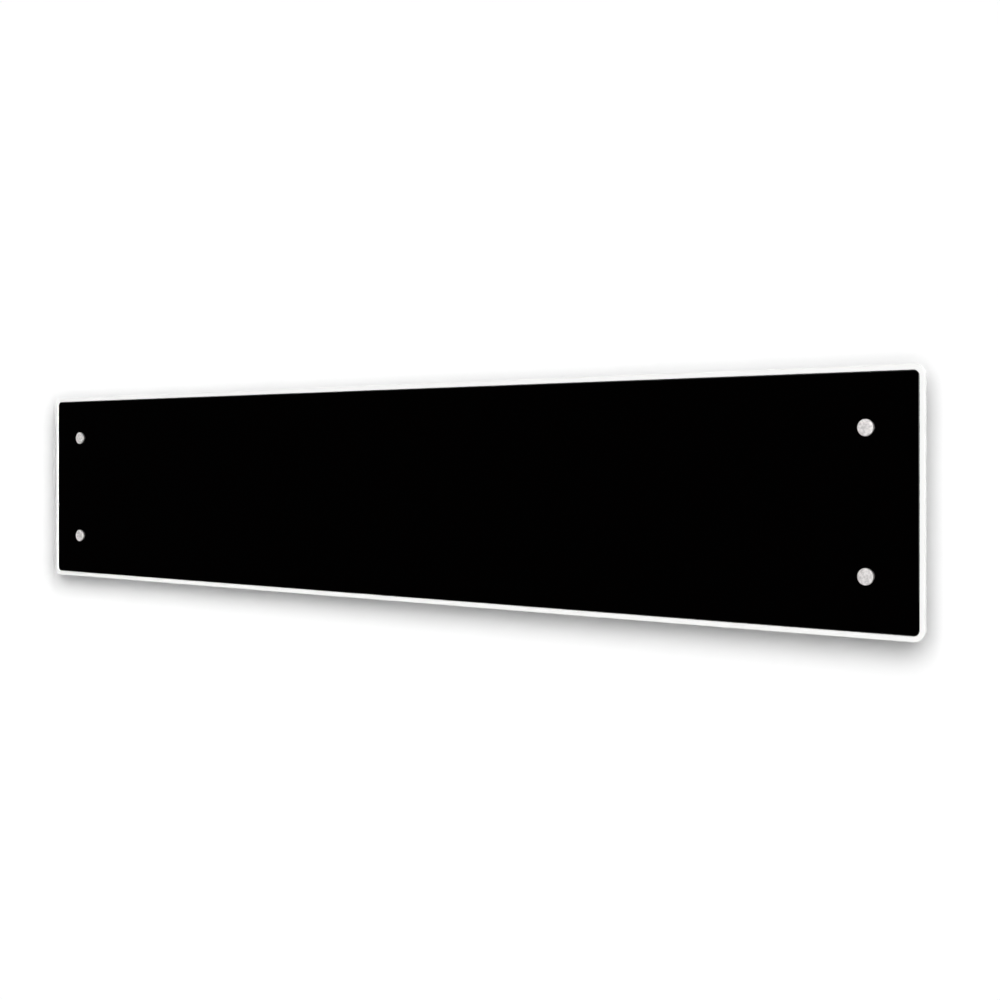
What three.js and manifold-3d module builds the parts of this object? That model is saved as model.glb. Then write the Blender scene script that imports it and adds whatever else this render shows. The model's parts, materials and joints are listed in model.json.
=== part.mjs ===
// Glass panel heater hung on a wall bracket. Millimetres.
// X runs along the width, -Y points into the room and +Z is up.
// The origin lies on the wall, at the centre of the bracket rail's back face.

import * as THREE from 'three';
import { mergeGeometries, mergeVertices } from 'three/addons/utils/BufferGeometryUtils.js';
import Module from 'manifold-3d';

const wasm = await Module();
wasm.setup();

// Shared clearances
const partGap = 0.3;
const overrun = 2;
const weldTolerance = 0.0001;

// Glass front
const glassWidth = 1130;
const glassHeight = 210;
const glassThickness = 4;
const glassCornerRadius = 5;
const glassArris = 0.5;
const glassHoleRadius = 5;
const wallToGlass = 80;

// Front tray: a sheet dish whose edge is folded forward, out and back as a narrow rim
const traySheet = 1;
const rimWidth = 4.7;
const rimProud = 0.3;
const rimReturn = 3;
const rimEdgeRound = 1.5;

// Silicone bedding strips between the glass and the tray
const beddingThickness = 1.1;
const beddingWidth = 12;
const beddingEndInset = 65;
const beddingInset = 15;

// Glass fixings: a cap screwed on a stud through a silicone grommet
const fixingInset = 45;
const capRadius = 7;
const capHeight = 2;
const capEdgeRound = 0.8;
const capBoreDepth = 1.2;
const studRadius = 2.5;
const studHeadRadius = 4;
const studHeadHeight = 1;
const grommetFlangeWidth = 1.8;

// Rear casing: one folded sheet with outward flanges along its front edges
const casingSheet = 1;
const casingStudGap = 6;
const casingInsetZ = 15;
const casingFlange = 9;
const wallGap = 22;
const swageBracketGap = 4;
const swageWidth = 12;
const swageDepth = 2;

// Inlet slots in the casing's bottom wall
const inletWidth = 5;
const inletLength = 30;
const inletPitch = 22;
const inletEndMargin = 30;

// End panels
const endLipLength = 10;
const endLipDepth = 36;

// Casing screws
const screwInset = 130;
const screwShankRadius = 1.7;
const screwHeadRadius = 3.5;
const screwHeadHeight = 1.8;

// Wall bracket: a joggled rail and two arms with hook blades
const bracketSheet = 2;
const armSpacing = 600;
const armBaseWidth = 30;
const armAboveHook = 16;
const armBelowHook = 34;
const bladeWaist = 13;
const bladeLand = 10;
const bladeTaper = 8;
const armHoleRadius = 3;
const railHeight = 36;
const railOverlap = 24;
const railJoggleGap = 3;
const keyholeOffset = 180;
const keyholeRadius = 5;
const keyholeSlotRadius = 2.5;
const keyholeRise = 10;

// Hooks and the casing slots that hang on them
const slotSwageGap = 8.5;
const hookDepth = 8;
const hookTipHeight = 9;
const hookTipLength = 6;
const hookTipLead = 2;
const hookSlack = 0.5;
const hookEntry = 1.2;
const liftTravel = 12;
const slotSide = 2;

// Top grille over the outlet opening
const outletSideMargin = 8;
const outletEndMargin = 25;
const outletBayMargin = 12;
const grilleFlangeWidth = 4;
const grilleFlangeThickness = 1;
const grilleWall = 1.2;
const grilleDepth = 8;
const vaneCount = 4;
const vaneThickness = 1.2;
const vaneLean = 35 * Math.PI / 180;
const crossRibPitch = 70;
const crossRibThickness = 1.5;

// Heat shield between the element and the tray
const shieldSheet = 0.8;
const shieldStandoff = 5;
const shieldEdgeGap = 11;
const shieldFoot = 11;
const shieldEndGap = 26;

// Heating element: a finned aluminium body round a sheathed rod
const finHeight = 64;
const finWaistShare = 0.66;
const finThickness = 0.9;
const finPitch = 20;
const coreRadius = 8;
const coreBareEnd = 12;
const coreEndGap = 20;
const rodRadius = 4;
const rodOverhang = 14;
const pinRadius = 1.5;
const pinLength = 8;

// Element brackets and their ceramic bushes
const elementEndMargin = 50;
const elementBayMargin = 60;
const elementBracketSheet = 1.2;
const elementBracketHeight = 40;
const elementBracketFoot = 15;
const bushRadius = 7;
const bushFlangeRadius = 9;
const bushFlangeThickness = 2.5;
const bushNose = 2.5;

// Partition between the element and the electronics
const partitionHousingGap = 25;
const partitionSheet = 1;
const partitionFlange = 10;
const partitionBackGap = 3;
const leadHoleWidth = 22;
const leadHoleHeight = 9;

// Thermal cut-out on the partition
const cutoutRadius = 8;
const cutoutHeight = 6;
const cutoutCapRadius = 5;
const cutoutCapHeight = 4;
const cutoutDrop = 34;

// Control housing set into the casing's top wall
const housingDepth = 28;
const housingDrop = 17;
const housingWall = 1.5;
const housingEndGap = 15;
const housingFit = 0.5;
const bezelWidth = 3;
const bezelThickness = 1.5;
const bezelCornerRadius = 4;
const clipHeight = 4;
const clipProud = 1.2;
const clipWidth = 10;

// Buttons
const buttonWidth = 12;
const buttonDepth = 8;
const buttonRadius = 2;
const buttonProud = 1.2;
const buttonTravel = 1;
const buttonFlangeWidth = 1.2;
const buttonFlangeThickness = 1;
const buttonStemRadius = 1.5;
const buttonGap = 3;
const firstButtonInset = 22;
const buttonNames = ['button_minus', 'button_mode', 'button_plus'];

// Display
const windowLength = 36;
const windowDepth = 16;
const windowThickness = 1;
const windowLedge = 2;
const windowButtonGap = 14;
const windowEndMargin = 12;
const displayInset = 4;

// Control board
const boardThickness = 1.6;
const controlBoardDrop = 11;
const boardEndGap = 2.5;
const boardSideGap = 1.5;
const boardPostRadius = 2;
const boardPostInset = 3;
const keySwitchSide = 6;
const keySwitchHeight = 1.8;
const wirelessLength = 20;
const wirelessDepth = 14;
const wirelessHeight = 3;

// Power board, its standoffs, relay and connectors
const powerBoardTopGap = 38;
const powerBoardInset = 16;
const powerBoardEndGap = 26;
const supplyLeadLength = 10;
const standoffRadius = 2.5;
const standoffHeight = 8;
const standoffInset = 8;
const connectorHeight = 10;
const connectorDepth = 13;
const topConnectorLength = 24;
const relayLength = 28;
const relayHeight = 12;
const relayDepth = 15;

// Terminal block on the casing's bottom wall
const terminalLength = 30;
const terminalHeight = 18;
const terminalDepth = 22;
const terminalBayGap = 22;
const terminalScrewRadius = 2.2;
const terminalScrewDepth = 3;

// Cord gland and its nut
const glandInset = 75;
const glandBore = 3.6;
const glandThreadRadius = 6;
const glandThreadHeight = 5;
const glandFlangeRadius = 9;
const glandFlangeHeight = 2;
const glandDomeRadius = 7.5;
const glandDomeHeight = 7;
const glandDomeRound = 1.5;
const nutRadius = 9.5;
const nutHeight = 4;

// Room sensor and its clip
const sensorInset = 18;
const sensorRadius = 2.5;
const sensorLength = 9;
const clipBlockLength = 6;
const clipBlockSide = 9;
const sensorRise = 9;
const sensorSlotWidth = 3;
const sensorSlotLength = 18;
const sensorSlotPitch = 7;
const sensorSlotCount = 3;

// Leads
const leadRadius = 1.4;
const leadBend = 12;

// Power switch in the right end panel
const switchDrop = 45;
const switchBezelHeight = 25;
const switchBezelWidth = 17;
const switchBezelThickness = 2;
const switchBodyHeight = 22;
const switchBodyWidth = 14;
const switchBodyLength = 18;
const rockerHalfLength = 8;
const rockerWidth = 10.6;
const rockerTilt = 12 * Math.PI / 180;
const rockerCrest = 0.5;
const rockerKeel = 2.5;
const rockerHeelShare = 0.95;
const pivotDepth = 2.5;
const pivotRadius = 1;
const pivotReach = 0.9;
const rockerEndGap = 1.2;
const rockerKeelGap = 2.2;

// How finely round shapes are divided
const cornerSteps = 3;
const slotSteps = 1;
const smallCornerSteps = 1;
const coreSteps = 5;
const holeSteps = 8;
const roundSides = 24;
const smallSides = 12;
const leadSteps = 16;

// Places worked out from the sizes above; fronts are more negative than backs
const glassFront = -wallToGlass;
const glassBack = glassFront + glassThickness;
const trayFloorFront = glassBack + beddingThickness;
const trayBack = trayFloorFront + traySheet;
const rimFront = glassFront - rimProud;
const pocketWidth = glassWidth + 2 * partGap;
const pocketHeight = glassHeight + 2 * partGap;
const trayWidth = pocketWidth + 2 * rimWidth;
const trayHeight = pocketHeight + 2 * rimWidth;
const fixingX = glassWidth / 2 - fixingInset;
const fixingZ = glassHeight / 2 - fixingInset;
const casingHalfX = fixingX + studHeadRadius + casingStudGap;
const casingHalfZ = trayHeight / 2 - casingInsetZ;
const casingBack = -wallGap;
const casingInnerBack = casingBack - casingSheet;
const casingInnerTop = casingHalfZ - casingSheet;
const casingMidY = (casingInnerBack + trayBack) / 2;
const screwZ = casingHalfZ + casingFlange / 2;
const screwX = casingHalfX - screwInset;
const armX = armSpacing / 2;
const slotHeight = hookDepth + liftTravel + partGap + hookSlack;
const swageZ = elementBracketHeight / 2 + swageBracketGap + swageWidth / 2;
const slotEdge = swageZ + swageWidth / 2 + slotSwageGap;
const hookSeats = [slotEdge + slotHeight - partGap, -slotEdge - partGap];
const bladeFront = casingBack + hookSlack;
const notchFront = casingInnerBack - hookEntry;
const tipFront = notchFront - hookTipLength;
const buttonPitch = buttonWidth + 2 * (partGap + buttonFlangeWidth) + buttonGap;
const buttonSpan = (buttonNames.length - 1) * buttonPitch;
const windowLeft = firstButtonInset + buttonSpan + windowButtonGap;
const housingLength = windowLeft + windowLength + windowEndMargin;
const windowOffset = windowLeft + (windowLength - housingLength) / 2;
const housingX = casingHalfX - housingEndGap - housingLength / 2;
const partitionX = housingX - housingLength / 2 - partitionHousingGap;
const outletWidth = casingBack - trayBack - 2 * outletSideMargin;
const outletLeft = -casingHalfX + outletEndMargin;
const outletRight = partitionX - outletBayMargin;
const shieldBack = trayBack + shieldStandoff + shieldSheet;
const elementY = (casingInnerBack + shieldBack) / 2;
const finDepth = 2 * (tipFront - partGap - elementY);
const elementLeft = -casingHalfX + elementEndMargin;
const elementRight = partitionX - elementBayMargin;
const rodLeft = elementLeft - rodOverhang;
const rodRight = elementRight + rodOverhang;
const controlBoardLength = housingLength - 2 * (housingWall + boardEndGap);
const controlBoardDepth = housingDepth - 2 * (housingWall + boardSideGap);
const bezelTop = casingHalfZ + bezelThickness;
const controlBoardTop = casingHalfZ - controlBoardDrop;
const boardBack = casingInnerBack - standoffHeight;
const boardFront = boardBack - boardThickness;
const connectorY = boardFront - connectorDepth + 2 * leadRadius;
const powerBoardLeft = partitionX + powerBoardInset;
const powerBoardLength = casingHalfX - powerBoardEndGap - powerBoardLeft;
const glandX = casingHalfX - glandInset;
const terminalLeft = partitionX + terminalBayGap;
const terminalTop = -casingInnerTop + terminalHeight;
const powerBoardBottom = terminalTop + supplyLeadLength;
const powerBoardTop = casingHalfZ - housingDrop - powerBoardTopGap;
const leadRowZ = -casingInnerTop + terminalHeight / 2;
const leadRowY = [casingMidY - leadHoleWidth / 4, casingMidY + leadHoleWidth / 4];
const sensorX = casingHalfX - sensorInset;
const sensorZ = -casingInnerTop + sensorRise;
const endPlateOuter = casingHalfX + casingSheet;
const switchFace = endPlateOuter + switchBezelThickness;
const pivotX = switchFace - pivotDepth;

// Finishes
const finishes = {
  blackGlass: { color: 0x050505, roughness: 0.03, metalness: 0 },
  whiteSteel: { color: 0xf1f1ee, roughness: 0.45, metalness: 0.1 },
  capMetal: { color: 0xd0cdcb, roughness: 0.28, metalness: 1 },
  zincSteel: { color: 0xb9bcbe, roughness: 0.42, metalness: 0.9 },
  bracketSteel: { color: 0xe6e6e3, roughness: 0.5, metalness: 0.2 },
  aluminium: { color: 0xc9cbcc, roughness: 0.38, metalness: 0.95 },
  rodSteel: { color: 0x7d7a74, roughness: 0.5, metalness: 0.9 },
  ceramic: { color: 0xeae5d8, roughness: 0.6, metalness: 0 },
  silicone: { color: 0xd8d8d4, roughness: 0.7, metalness: 0 },
  blackPlastic: { color: 0x1b1b1c, roughness: 0.45, metalness: 0 },
  greyPlastic: { color: 0xd9d9d6, roughness: 0.5, metalness: 0 },
  displayGlass: { color: 0x0a0a0c, roughness: 0.05, metalness: 0 },
  circuitBoard: { color: 0x1e5a34, roughness: 0.5, metalness: 0 },
  leadSleeve: { color: 0xb4412f, roughness: 0.65, metalness: 0 },
};

// Axes that a profile is swept along: its own x and y land on the two named after it
const sweepX = new THREE.Matrix4().makeBasis(axis(0, 1, 0), axis(0, 0, 1), axis(1, 0, 0));
const sweepY = new THREE.Matrix4().makeBasis(axis(1, 0, 0), axis(0, 0, 1), axis(0, -1, 0));

function axis(x, y, z) {
  return new THREE.Vector3(x, y, z);
}

// Outlines

function polygon(points) {
  const shape = new THREE.Shape();
  points.forEach(([a, b], i) => (i ? shape.lineTo(a, b) : shape.moveTo(a, b)));
  shape.closePath();
  return shape;
}

function disc(radius, [a, b] = [0, 0]) {
  return new THREE.Shape().absarc(a, b, radius, 0, 2 * Math.PI, false);
}

function roundedRect(width, height, radius, [a, b] = [0, 0]) {
  const [w, h] = [width / 2 - radius, height / 2 - radius];
  const quarter = Math.PI / 2;
  const shape = new THREE.Shape();
  shape.absarc(a + w, b + h, radius, 0, quarter, false);
  shape.absarc(a - w, b + h, radius, quarter, 2 * quarter, false);
  shape.absarc(a - w, b - h, radius, 2 * quarter, 3 * quarter, false);
  shape.absarc(a + w, b - h, radius, 3 * quarter, 4 * quarter, false);
  shape.closePath();
  return shape;
}

// A slot whose two ends are round
function roundSlot(width, height, middle = [0, 0]) {
  return roundedRect(width, height, Math.min(width, height) / 2, middle);
}

function leftOf([a0, b0], [a1, b1]) {
  const length = Math.hypot(a1 - a0, b1 - b0);
  return [(b0 - b1) / length, (a1 - a0) / length];
}

// The outline of a bent sheet: a path and its mitred copy, one thickness to its left
function bentSheet(path, thickness) {
  const side = path.map((point, i) => {
    const before = i > 0 ? leftOf(path[i - 1], point) : leftOf(point, path[i + 1]);
    const after = i < path.length - 1 ? leftOf(point, path[i + 1]) : before;
    const mitre = thickness / (1 + before[0] * after[0] + before[1] * after[1]);
    return [point[0] + (before[0] + after[0]) * mitre, point[1] + (before[1] + after[1]) * mitre];
  });
  return polygon([...path, ...side.reverse()]);
}

// Swept, boxed and turned shapes

function prism(shape, length, steps) {
  return new THREE.ExtrudeGeometry(shape, { depth: length, bevelEnabled: false, curveSegments: steps });
}

function prismX(shape, from, to, steps = cornerSteps) {
  return prism(shape, to - from, steps).applyMatrix4(sweepX).translate(from, 0, 0);
}

function prismY(shape, from, to, steps = cornerSteps) {
  return prism(shape, to - from, steps).applyMatrix4(sweepY).translate(0, to, 0);
}

function prismZ(shape, from, to, steps = cornerSteps) {
  return prism(shape, to - from, steps).translate(0, 0, from);
}

// A prism along Y whose two end edges are rounded
function softPrismY(shape, from, to, round, roundSteps) {
  const options = {
    depth: to - from - 2 * round,
    bevelEnabled: true,
    bevelThickness: round,
    bevelSize: round,
    bevelOffset: -round,
    bevelSegments: roundSteps,
    curveSegments: cornerSteps,
  };
  return new THREE.ExtrudeGeometry(shape, options).applyMatrix4(sweepY).translate(0, to - round, 0);
}

function block([x0, x1], [y0, y1], [z0, z1]) {
  const box = new THREE.BoxGeometry(x1 - x0, y1 - y0, z1 - z0);
  return box.translate((x0 + x1) / 2, (y0 + y1) / 2, (z0 + z1) / 2);
}

// Turned about Y, with a profile of radius and place along the axis
function turnedY(profile, sides = roundSides) {
  return new THREE.LatheGeometry(profile.map(([r, h]) => new THREE.Vector2(r, h)), sides);
}

function turnedX(profile, sides = roundSides) {
  return turnedY(profile, sides).rotateZ(-Math.PI / 2);
}

function turnedZ(profile, sides = roundSides) {
  return turnedY(profile, sides).rotateX(Math.PI / 2);
}

// A lead bent through the given points
function bentLead(points) {
  const path = new THREE.CatmullRomCurve3(points.map((point) => axis(...point)), false, 'centripetal');
  const options = { steps: leadSteps, bevelEnabled: false, extrudePath: path, curveSegments: cornerSteps };
  return new THREE.ExtrudeGeometry(disc(leadRadius), options);
}

// Solids

function bare(geometry) {
  const copy = geometry.index ? geometry.toNonIndexed() : geometry.clone();
  copy.deleteAttribute('normal');
  copy.deleteAttribute('uv');
  return copy;
}

function signedVolume(points, faces) {
  const corner = (i) => axis().fromArray(points, 3 * faces[i]);
  let volume = 0;
  for (let i = 0; i < faces.length; i += 3) {
    volume += corner(i).dot(corner(i + 1).cross(corner(i + 2))) / 6;
  }
  return volume;
}

// A closed geometry as a solid with its faces outwards
function solid(geometry) {
  const merged = mergeVertices(bare(geometry), weldTolerance);
  const points = Float32Array.from(merged.attributes.position.array);
  const faces = [];
  for (let i = 0; i < merged.index.count; i += 3) {
    const [a, b, c] = [0, 1, 2].map((k) => merged.index.getX(i + k));
    if (a !== b && b !== c && c !== a) faces.push(a, b, c);
  }
  if (signedVolume(points, faces) < 0) faces.reverse();
  const triVerts = Uint32Array.from(faces);
  return new wasm.Manifold(new wasm.Mesh({ numProp: 3, vertProperties: points, triVerts }));
}

function asSolid(item) {
  return item.isBufferGeometry ? solid(item) : item;
}

function join(...items) {
  return items.map(asSolid).reduce((whole, item) => whole.add(item));
}

function cut(item, ...tools) {
  return tools.map(asSolid).reduce((whole, tool) => whole.subtract(tool), asSolid(item));
}

// Copies that lie clear of each other, as one geometry
function pattern(geometries) {
  return mergeGeometries(geometries.map(bare));
}

function piece(name, item, finish) {
  const { vertProperties, triVerts } = asSolid(item).getMesh();
  const geometry = new THREE.BufferGeometry();
  geometry.setAttribute('position', new THREE.BufferAttribute(vertProperties, 3));
  geometry.setIndex(new THREE.BufferAttribute(triVerts, 1));
  geometry.computeVertexNormals();
  const mesh = new THREE.Mesh(geometry, new THREE.MeshStandardMaterial({ ...finish, flatShading: true }));
  mesh.name = name;
  return mesh;
}

function group(...children) {
  return new THREE.Group().add(...children);
}

const sides = [['left', -1], ['right', 1]];
const corners = sides.flatMap(([side, sx]) => [['top', 1], ['bottom', -1]].map(
  ([level, sz]) => [`${level}_${side}`, sx * fixingX, sz * fixingZ],
));

// Wall bracket

function hookOutline(seat) {
  return [
    [-bladeWaist, seat - hookDepth - bladeTaper],
    [bladeFront, seat - hookDepth],
    [tipFront, seat - hookDepth],
    [tipFront, seat + hookTipHeight - hookTipLead],
    [tipFront + hookTipLead, seat + hookTipHeight],
    [notchFront, seat + hookTipHeight],
    [notchFront, seat],
    [bladeFront, seat],
    [bladeFront, seat + bladeLand],
    [-bladeWaist, seat + bladeLand + bladeTaper],
  ];
}

function bracketArm(name, side) {
  const top = hookSeats[0] + hookTipHeight + armAboveHook;
  const bottom = hookSeats[1] - armBelowHook;
  const [upper, lower] = hookSeats.map(hookOutline);
  const edge = [[-bladeWaist, bottom], ...lower, ...upper, [-bladeWaist, top]];
  const blade = prismX(
    polygon([[0, bottom], ...edge, [0, top]]), -bracketSheet / 2, bracketSheet / 2,
  );
  const reach = armBaseWidth - bracketSheet / 2;
  const base = prismY(roundedRect(armBaseWidth, top - bottom, armHoleRadius), -bracketSheet, 0)
    .translate(-side * (armBaseWidth - bracketSheet) / 2, 0, (top + bottom) / 2);
  const holes = pattern([top, bottom].map((end) => {
    const inward = end === top ? -armAboveHook : armAboveHook;
    return prismY(disc(armHoleRadius), -bracketSheet - overrun, overrun, holeSteps)
      .translate(-side * reach / 2, 0, end + inward);
  }));
  const arm = piece(name, cut(join(base, blade), holes), finishes.bracketSteel);
  arm.position.x = side * armX;
  return arm;
}

function keyhole(x) {
  const [from, to] = [-bracketSheet - overrun, overrun];
  const neckHeight = keyholeRise + 2 * keyholeSlotRadius;
  const opening = prismY(disc(keyholeRadius, [x, -keyholeRise / 2]), from, to, holeSteps);
  const neck = prismY(roundSlot(2 * keyholeSlotRadius, neckHeight, [x, 0]), from, to, slotSteps);
  return join(opening, neck);
}

function bracketRail() {
  const armInner = armX + bracketSheet / 2 - armBaseWidth;
  const joggleEnd = armInner - railJoggleGap;
  const joggleStart = joggleEnd - bracketSheet;
  const tip = armInner + railOverlap;
  const path = [
    [tip, -bracketSheet], [joggleEnd, -bracketSheet], [joggleStart, 0],
    [-joggleStart, 0], [-joggleEnd, -bracketSheet], [-tip, -bracketSheet],
  ];
  const strip = prismZ(bentSheet(path, bracketSheet), -railHeight / 2, railHeight / 2);
  return piece(
    'bracket_rail', cut(strip, keyhole(-keyholeOffset), keyhole(keyholeOffset)), finishes.bracketSteel,
  );
}

// Glass, tray and fixings

function fixingHoles(radius, from, to) {
  return pattern(corners.map(
    ([, x, z]) => prismY(disc(radius), from, to, holeSteps).translate(x, 0, z),
  ));
}

function glassFrontPanel() {
  const sheet = softPrismY(
    roundedRect(glassWidth, glassHeight, glassCornerRadius), glassFront, glassBack, glassArris, 1,
  );
  const holes = fixingHoles(glassHoleRadius, glassFront - overrun, glassBack + overrun);
  return piece('glass_front', cut(sheet, holes), finishes.blackGlass);
}

// A plate with the pocket's outline grown by a margin
function pocketPlate(margin, from, to) {
  const radius = glassCornerRadius + partGap + margin;
  return prismY(roundedRect(pocketWidth + 2 * margin, pocketHeight + 2 * margin, radius), from, to);
}

function screwPlaces() {
  return [-1, 1].flatMap((sx) => [-1, 1].map((sz) => [sx * screwX, sz * screwZ]));
}

function screwHoles(from, to) {
  return pattern(screwPlaces().map(
    ([x, z]) => prismY(disc(screwShankRadius + partGap), from, to, holeSteps / 2).translate(x, 0, z),
  ));
}

function frontTray() {
  const returnBack = rimFront + rimReturn;
  const outline = roundedRect(trayWidth, trayHeight, glassCornerRadius + partGap + rimWidth);
  const softRim = softPrismY(outline, rimFront, trayBack, rimEdgeRound, 2);
  const behindRim = cut(
    pocketPlate(rimWidth + overrun, returnBack, trayBack + overrun),
    pocketPlate(traySheet, returnBack - overrun, trayBack + 2 * overrun),
  );
  const groove = cut(
    pocketPlate(rimWidth - traySheet, rimFront + traySheet, returnBack + overrun),
    pocketPlate(traySheet, rimFront, returnBack + 2 * overrun),
  );
  const squareBack = pocketPlate(traySheet, returnBack, trayBack);
  const dish = pocketPlate(0, rimFront - overrun, trayFloorFront);
  const holes = fixingHoles(studRadius + partGap, trayFloorFront - overrun, trayBack + overrun);
  const screws = screwHoles(trayFloorFront - overrun, trayBack + overrun);
  const rim = join(cut(softRim, behindRim, groove), squareBack);
  return piece('front_tray', cut(rim, dish, holes, screws), finishes.whiteSteel);
}

function beddingStrip(name, side) {
  const z = side * (glassHeight / 2 - beddingInset);
  const end = glassWidth / 2 - beddingEndInset;
  const strip = block(
    [-end, end], [glassBack, trayFloorFront],
    [z - beddingWidth / 2, z + beddingWidth / 2],
  );
  return piece(name, strip, finishes.silicone);
}

function roundedEdge(radius, face, round, steps) {
  return Array.from({ length: steps + 1 }, (_, i) => {
    const turn = (i / steps) * Math.PI / 2;
    return [radius - round + round * Math.cos(turn), face + round - round * Math.sin(turn)];
  });
}

function glassCap(name) {
  const face = glassFront - capHeight;
  const bore = studRadius + partGap;
  const profile = [
    [0, glassFront - capBoreDepth], [bore, glassFront - capBoreDepth], [bore, glassFront],
    [capRadius, glassFront], ...roundedEdge(capRadius, face, capEdgeRound, 2), [0, face],
  ];
  return piece(name, turnedY(profile), finishes.capMetal);
}

function glassStud(name) {
  const tip = glassFront - capBoreDepth + partGap;
  const profile = [
    [0, tip], [studRadius, tip], [studRadius, trayBack], [studHeadRadius, trayBack],
    [studHeadRadius, trayBack + studHeadHeight], [0, trayBack + studHeadHeight],
  ];
  return piece(name, turnedY(profile, smallSides), finishes.zincSteel);
}

function glassGrommet(name) {
  const bore = studRadius + partGap;
  const sleeve = glassHoleRadius - partGap;
  const flange = glassHoleRadius + grommetFlangeWidth;
  const profile = [
    [bore, trayFloorFront], [flange, trayFloorFront], [flange, glassBack], [sleeve, glassBack],
    [sleeve, glassFront + partGap], [bore, glassFront + partGap], [bore, trayFloorFront],
  ];
  return piece(name, turnedY(profile, smallSides), finishes.silicone);
}

function glassFixing([place, x, z]) {
  const fixing = group(
    glassCap(`glass_cap_${place}`), glassStud(`glass_stud_${place}`), glassGrommet(`glass_grommet_${place}`),
  );
  fixing.position.set(x, 0, z);
  return fixing;
}

// Rear casing

function swage(middle) {
  const [rise, half] = [swageDepth, swageWidth / 2];
  return [
    [casingInnerBack, middle + half], [casingInnerBack - rise, middle + half - rise],
    [casingInnerBack - rise, middle - half + rise], [casingInnerBack, middle - half],
  ];
}

function casingShell() {
  const inner = casingInnerTop;
  const path = [
    [trayBack, casingHalfZ + casingFlange], [trayBack, inner], [casingInnerBack, inner],
    ...swage(swageZ), ...swage(-swageZ),
    [casingInnerBack, -inner], [trayBack, -inner], [trayBack, -casingHalfZ - casingFlange],
  ];
  return prismX(bentSheet(path, casingSheet), -casingHalfX, casingHalfX);
}

function standoffs() {
  const xs = [powerBoardLeft + standoffInset, powerBoardLeft + powerBoardLength - standoffInset];
  const zs = [powerBoardTop - standoffInset, powerBoardBottom + standoffInset];
  const root = casingInnerBack + casingSheet / 2;
  return pattern(xs.flatMap((x) => zs.map(
    (z) => prismY(disc(standoffRadius), boardBack, root, cornerSteps).translate(x, 0, z),
  )));
}

function hookSlots() {
  const half = bracketSheet / 2 + slotSide;
  return pattern(sides.flatMap(([, side]) => hookSeats.map((seat) => block(
    [side * armX - half, side * armX + half],
    [casingInnerBack - swageDepth - overrun, casingBack + overrun],
    [seat + partGap - slotHeight, seat + partGap],
  ))));
}

function inletSlots() {
  const span = outletRight - outletLeft - 2 * inletEndMargin;
  const count = Math.floor(span / inletPitch) + 1;
  const first = (outletLeft + outletRight) / 2 - (count - 1) * inletPitch / 2;
  return pattern(Array.from({ length: count }, (_, i) => prismZ(
    roundSlot(inletWidth, inletLength, [first + i * inletPitch, casingMidY]),
    -casingHalfZ - overrun, -casingInnerTop + overrun, slotSteps,
  )));
}

function sensorSlots() {
  const first = sensorX - sensorLength;
  return pattern(Array.from({ length: sensorSlotCount }, (_, i) => prismZ(
    roundSlot(sensorSlotWidth, sensorSlotLength, [first - i * sensorSlotPitch, casingMidY]),
    -casingHalfZ - overrun, -casingInnerTop + overrun, slotSteps,
  )));
}

function rearCasing() {
  const topCut = [casingInnerTop - overrun, casingHalfZ + overrun];
  const outlet = block(
    [outletLeft, outletRight], [casingMidY - outletWidth / 2, casingMidY + outletWidth / 2], topCut,
  );
  const bodyX = housingLength / 2 + housingFit;
  const bodyY = housingDepth / 2 + housingFit;
  const controls = block(
    [housingX - bodyX, housingX + bodyX], [casingMidY - bodyY, casingMidY + bodyY], topCut,
  );
  const gland = prismZ(
    disc(glandThreadRadius + partGap, [glandX, casingMidY]),
    -casingHalfZ - overrun, -casingInnerTop + overrun, holeSteps,
  );
  const shell = join(casingShell(), standoffs());
  const screws = screwHoles(trayBack - overrun, trayBack + casingSheet + overrun);
  return piece(
    'rear_casing',
    cut(shell, outlet, controls, gland, screws, hookSlots(), inletSlots(), sensorSlots()),
    finishes.whiteSteel,
  );
}

// A plate over the casing's end, with a flange on the tray and lips inside the top and bottom walls
function endPanelSolid() {
  const path = [
    [casingHalfX, casingBack], [casingHalfX, trayBack], [casingHalfX + casingFlange, trayBack],
  ];
  const plate = prismZ(bentSheet(path, casingSheet), -casingHalfZ, casingHalfZ);
  const lipTop = casingInnerTop - partGap;
  const lips = [1, -1].map((side) => {
    const [outer, inner] = [side * lipTop, side * (lipTop - casingSheet)];
    return block(
      [casingHalfX - endLipLength, casingHalfX + casingSheet / 2],
      [casingMidY - endLipDepth / 2, casingMidY + endLipDepth / 2],
      [Math.min(outer, inner), Math.max(outer, inner)],
    );
  });
  return { plate, lips };
}

function endPanelLeft() {
  const { plate, lips } = endPanelSolid();
  const mirrored = [plate, ...lips].map((geometry) => geometry.scale(-1, 1, 1));
  return piece('end_panel_left', join(...mirrored), finishes.whiteSteel);
}

function endPanelRight() {
  const { plate, lips } = endPanelSolid();
  const opening = block(
    [casingHalfX - overrun, endPlateOuter + overrun],
    [casingMidY - switchBodyWidth / 2 - partGap, casingMidY + switchBodyWidth / 2 + partGap],
    [-switchDrop - switchBodyHeight / 2 - partGap, -switchDrop + switchBodyHeight / 2 + partGap],
  );
  return piece('end_panel_right', cut(join(plate, ...lips), opening), finishes.whiteSteel);
}

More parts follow.
